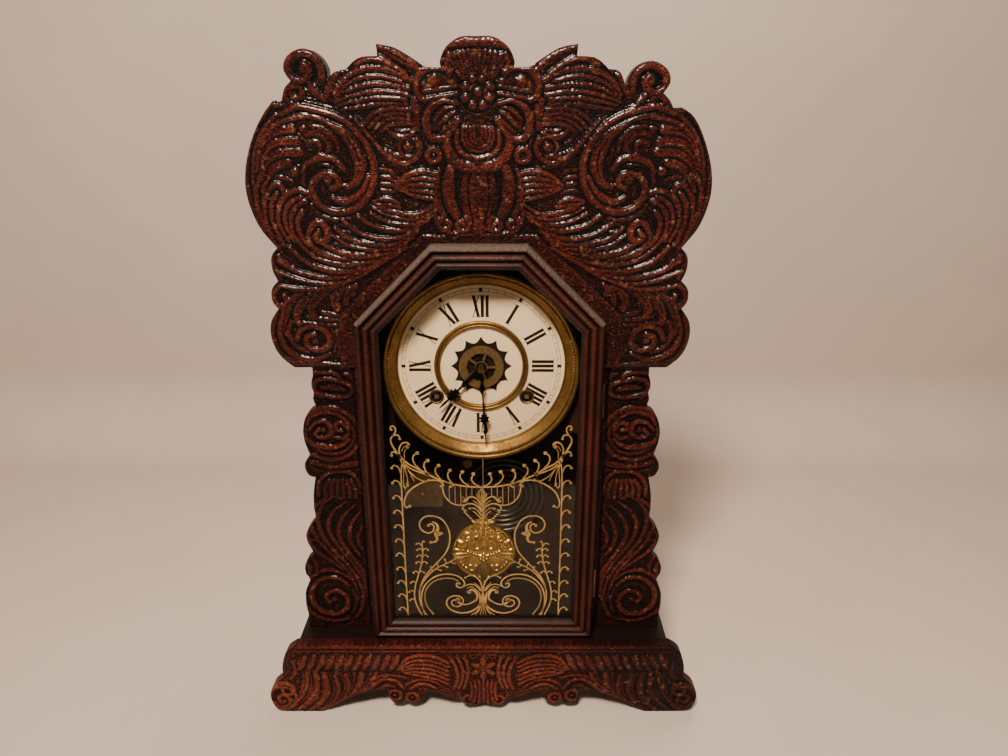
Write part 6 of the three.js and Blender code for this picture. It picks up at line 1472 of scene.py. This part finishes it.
def steel(name, colour, gloss, rust=0.0):
    metal = Finish(name, Metallic=0.9)
    cloud = metal.noise(60, 5, 0.65)
    spots = (metal.noise(240, 5, 0.75) + rust).between(0.62, 0.86)
    metal.feed(
        Base_Color=metal.mix(spots, (*colour, 1), (0.11, 0.055, 0.03, 1)),
        Roughness=cloud * 0.25 + spots * 0.3 + gloss,
        Normal=metal.bump(spots + cloud * 0.3, 0.00006, 0.6),
    )
    return metal.material


def stained_board(name, deep, high, gloss=0.4, outside=None):
    """Plain sawn boards with their grain. outside gives how far back, in mm, a board turns into its bare
    outer face, and how many times paler that is."""
    wood = Finish(name, Specular_IOR_Level=0.18)
    grain = wood.noise(1.0, 6, 0.68, wood.stretched(420, 420, 34))
    cloud = wood.noise(18, 4, 0.6)
    pores = wood.noise(1.0, 3, 0.6, wood.stretched(2200, 2200, 130))
    tone = grain * 0.55 + cloud * 0.4 + pores * 0.2 - 0.1
    colour = wood.ramp(tone, [(0.25, deep), (0.75, high)])
    if outside:
        bare = wood.part_of_place("Y").between((outside[0] - 0.2) * MM, outside[0] * MM)
        pale = [(at, tuple(c * outside[1] for c in stop)) for at, stop in ((0.25, deep), (0.75, high))]
        colour = wood.mix(bare, colour, wood.ramp(tone, pale))
    wood.feed(
        Base_Color=colour,
        Roughness=grain * 0.3 + gloss,
        Normal=wood.bump(grain * 0.6 + pores * 0.5, 0.00025, 0.7),
    )
    return wood.material


finishes = {
    "oak": stained_board("stained base boards", (0.0012, 0.0006, 0.0004), (0.011, 0.0034, 0.002), 0.34),
    "dark_oak": stained_board("dark case boards", (0.012, 0.006, 0.004), (0.07, 0.028, 0.016), 0.3),
    # The inside wood is darkened as painted shade for the dim inside of the case.
    "inner_wood": stained_board("inside wood darkened as painted shade", (0.01, 0.005, 0.0035), (0.05, 0.024, 0.015), 0.55),
    "brass": old_brass("polished brass", (0.66, 0.45, 0.17), (0.24, 0.14, 0.05), 0.2),
    "old_brass": old_brass("tarnished brass", (0.2, 0.14, 0.07), (0.05, 0.034, 0.02), 0.38),
    "steel": steel("bright steel", (0.42, 0.4, 0.37), 0.2, -0.06),
    "black_steel": steel("blackened steel", (0.012, 0.011, 0.012), 0.22, -0.2),
    "iron": steel("dull iron", (0.022, 0.018, 0.016), 0.42, 0.0),
    "zinc": steel("zinc plate", (0.33, 0.33, 0.33), 0.4, -0.05),
    "bead": stained_board("stained glass bead", (0.014, 0.007, 0.005), (0.07, 0.025, 0.015), 0.35),
}
# The alarm disc is rubbed bright by the fingers that set it. The hammer is given the darker tarnished brass
# as painted shade, for the dark of the case that it hides in.
finish_of = {part["node"]: finishes.get(part["material_slot"]) for part in frame["record"]["subparts"]}
finish_of["alarm_disc"] = old_brass("alarm disc brass", (0.66, 0.48, 0.24), (0.2, 0.13, 0.07), 0.3, 0.3)
finish_of["strike_hammer"] = finishes["old_brass"]
# The back board's inside is darkened as painted shade for the dim case; its outer face, from 60.6 mm back, is
# 3.2 times paler.
finish_of["back_board"] = stained_board(
    "back board darkened inside as painted shade", (0.01, 0.005, 0.0035), (0.05, 0.024, 0.015), 0.55, outside=(60.6, 3.2)
)
base_stain = stained_board("blackened base boards", (0.0012, 0.0006, 0.0004), (0.011, 0.0034, 0.002), 0.4)
for node in ("base_top_board", "base_left_side", "base_right_side"):
    finish_of[node] = base_stain
for node, finish in finish_of.items():
    if finish:
        frame["nodes"][node].material_slots[0].material = finish


# ---------------------------------------------------------------- gong
# One length of steel wire, wound flat from its iron stand outwards and blued dark. It rings when the hammer
# falls on its outer turn.

gong_turns, gong_pitch, gong_outer = 5.0, 5.4, 42.0
gong_x, gong_z = 18, 172
gong_low, gong_high = corners_of("gong_coil")
gong_tree = Tree(
    "gong_wire",
    Turns=gong_turns,
    Inner_radius=(gong_outer - gong_turns * gong_pitch) * MM,
    Outer_radius=gong_outer * MM,
    Wire_radius=(gong_high.y - gong_low.y) / 2 * MM,
)
spiral = gong_tree.node(
    "CurveSpiral",
    Resolution=48,
    Height=0,
    Rotations=gong_tree.given["Turns"],
    Start_Radius=gong_tree.given["Inner radius"],
    End_Radius=gong_tree.given["Outer radius"],
)
circle = gong_tree.node("CurvePrimitiveCircle", Resolution=10, Radius=gong_tree.given["Wire radius"])
wire = gong_tree.node("CurveToMesh", Curve=spiral, Profile_Curve=circle, Fill_Caps=True)
gong_steel = steel("blued gong wire", (0.13, 0.115, 0.1), 0.2, -0.2)
gong = gong_tree.piece(wire, gong_steel, (gong_x, (gong_low.y + gong_high.y) / 2, gong_z), math.pi)
sharpened(gong, 60)
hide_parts("gong_coil")
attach(gong, "case")


# ---------------------------------------------------------------- pendulum bob
# Thin brass, stamped in high relief over a rayed back: a leafy crest, scrolls round a cluster of berries,
# ribs that spread to each side, and a pointed leaf below.

def bob_relief(cz):
    """Half of the bob. cz is the height of its middle."""
    r = Relief(-34, 34, cz - 42, cz + 46, 0.7)
    line = dict(skirt=1.0, swell=0.1)
    r.dome((0, cz), 30, 1.9, flat=1.6)
    r.ring((0, cz), 28.4, 1.6, 2.3, **line)
    for k in range(9):
        # Ribs spread over the side like the slats of a fan.
        rib = [polar((0, cz), radius, 198 - k * 11) for radius in (13, 20, 26)]
        r.stroke(rib, (1.4, 2.4, 2.8), 2.6, **line)
    # Scrolls of the upper half, each with a ball in its eye.
    for x, up, radius, start, way in (
        (-15, 15, 7.0, 300, 1), (-6.5, 22, 6.0, 250, 1), (-7, 8, 6.6, 60, -1), (-21, 7, 4.6, 330, 1),
    ):
        r.scroll((x, cz + up), radius, 1.2, start, 1.7, 3.6, way=way)
        r.dome((x, cz + up), 1.7, 3.9)
    r.stroke([(-3, cz + 30), (-9, cz + 26), (-12, cz + 20)], (1, 2, 1), 3.2, **line)
    r.stroke([(0, cz + 14), (-2.6, cz + 20), (0, cz + 29)], (1.6, 3, 1.6), 3.5, **line)
    for k in range(7):
        # Beads hang in a swag under the scrolls, and a second string runs along the lower rim.
        share = k / 6
        r.dome((-17 + 15 * share, cz + 2 - 5.5 * math.sin(math.pi * share * 0.55)), 1.35, 3.4)
        r.dome(polar((0, cz), 24.4, 200 + 52 * share), 1.25, 3.3)
    # Berries, with a leaf under them.
    for k in range(6):
        r.dome(polar((0, cz - 6), 3.4, 90 + 60 * k), 2.0, 3.9)
    r.dome((0, cz - 6), 2.0, 4.0)
    r.stroke([(0, cz - 10), (0, cz - 20), (0, cz - 34)], (4, 9, 2), 3.7, **line)
    r.groove([(0, cz - 11), (0, cz - 32)], 1.1, 1.6)
    r.stroke([(-3, cz - 12), (-8, cz - 18), (-7, cz - 26), (-3, cz - 31)], (1.2, 2.6, 1.2), 2.9, **line)
    r.scroll((-12, cz - 17), 4.4, 1.1, 20, 1.5, 3.1, way=-1)
    # Leaves of the crest.
    r.stroke([(0, cz + 28), (0, cz + 34), (0, cz + 41)], (2.4, 4, 1.2), 3.3, **line)
    r.stroke([(-1, cz + 28), (-5, cz + 31), (-11, cz + 33)], (2, 3, 1.2), 3.0, **line)
    r.stroke([(-2, cz + 24), (-6, cz + 26), (-8, cz + 28)], (1.6, 2.4, 1), 3.0, **line)
    return r.mirrored().softened()


crest_rise = 42  # From the middle of the bob to the tip of its crest.
bob_low, bob_high = corners_of("pendulum_bob")
bob_brass = old_brass("stamped bob brass", (0.86, 0.6, 0.17), (0.36, 0.23, 0.06), 0.2, 0.35)
pressed_board(
    "pendulum_bob_stamped", "pendulum_bob", bob_relief(bob_high.z - crest_rise), bob_brass,
    cell=0.42, highest=bob_high.y - bob_low.y, edge=0.8, body="pendulum",
)


# ---------------------------------------------------------------- floor, light and camera
# The clock stands on pale card that curves up behind it, lit from the upper left by one lamp, with two weak
# ones to fill the shadows and one behind.

def sweep(name, material):
    """A pale floor that curves up into a wall behind the clock. Its front edge lies just out of view."""
    edge, wall, bend, reach, top = -480, 560, 120, 2200, 2200
    section = [(edge, 0.0), (wall - bend, 0.0)]
    for a in np.linspace(0.1, 1.47, 12):
        section.append((wall - bend + bend * math.sin(a), bend - bend * math.cos(a)))
    section += [(wall, bend), (wall, top)]
    points = [(x, y, z) for y, z in section for x in (-reach, reach)]
    faces = [(2 * k, 2 * k + 1, 2 * k + 3, 2 * k + 2) for k in range(len(section) - 1)]
    return new_piece(name, points, faces, material)


def pale_card():
    """Matt card. Its back is clear, so that the clock can be looked at from behind."""
    card = Finish("pale card", Specular_IOR_Level=0.1)
    cloud = card.noise(3, 3)
    card.feed(Base_Color=card.ramp(cloud, [(0.3, (0.45, 0.37, 0.32)), (0.7, (0.49, 0.405, 0.35))]),
              Roughness=cloud * 0.1 + 0.75)
    behind = card.node("ShaderNodeNewGeometry", {}, {}, "Backfacing")
    clear = card.node("ShaderNodeBsdfTransparent", {}, {})
    front = Wire(card, card.shader.outputs["BSDF"])
    card.show(card.node("ShaderNodeMixShader", {}, {0: behind, 1: front, 2: clear}))
    return card.material


sweep("floor", pale_card())

# The room that lights the clock is dim, and the backdrop that the camera sees is pale.
world = bpy.data.worlds.new("studio")
world.use_nodes = True
nodes, links = world.node_tree.nodes, world.node_tree.links
room, seen = nodes["Background"], nodes.new("ShaderNodeBackground")
room.inputs["Color"].default_value = (1, 0.9, 0.8, 1)
room.inputs["Strength"].default_value = 0.07
seen.inputs["Color"].default_value = (0.36, 0.29, 0.24, 1)
which, path = nodes.new("ShaderNodeMixShader"), nodes.new("ShaderNodeLightPath")
links.new(path.outputs["Is Camera Ray"], which.inputs[0])
links.new(room.outputs[0], which.inputs[1])
links.new(seen.outputs[0], which.inputs[2])
links.new(which.outputs[0], nodes["World Output"].inputs["Surface"])
bpy.context.scene.world = world


def lamp(name, place, target, size, power):
    light = bpy.data.lights.new(name, "AREA")
    light.shape = "RECTANGLE"
    light.size, light.size_y = size
    light.energy = power
    light.color = (1, 0.86, 0.72)
    holder = bpy.data.objects.new(name, light)
    holder.location = place
    holder.rotation_euler = (Vector(target) - Vector(place)).to_track_quat("-Z", "Y").to_euler()
    bpy.context.scene.collection.objects.link(holder)


lamp("key light", (-0.2, -0.95, 1.45), (0, 0, 0.3), (0.24, 0.24), 54)
lamp("side light", (1.2, -0.5, 0.9), (0, 0, 0.3), (0.5, 0.7), 2.4)
lamp("fill light", (-1.2, -0.6, 0.7), (0, 0, 0.3), (0.6, 0.8), 2.4)
lamp("back light", (0.2, 0.48, 1.15), (0, 0.08, 0.25), (0.6, 0.3), 7)

looks_down = 20.07  # degrees
camera = bpy.data.objects.new("camera", bpy.data.cameras.new("camera"))
camera.data.lens = 27.04
camera.location = (0.019, -0.618, 0.5368)
camera.rotation_euler = (math.radians(90 - looks_down), 0, 0)
bpy.context.scene.collection.objects.link(camera)
bpy.context.scene.camera = camera
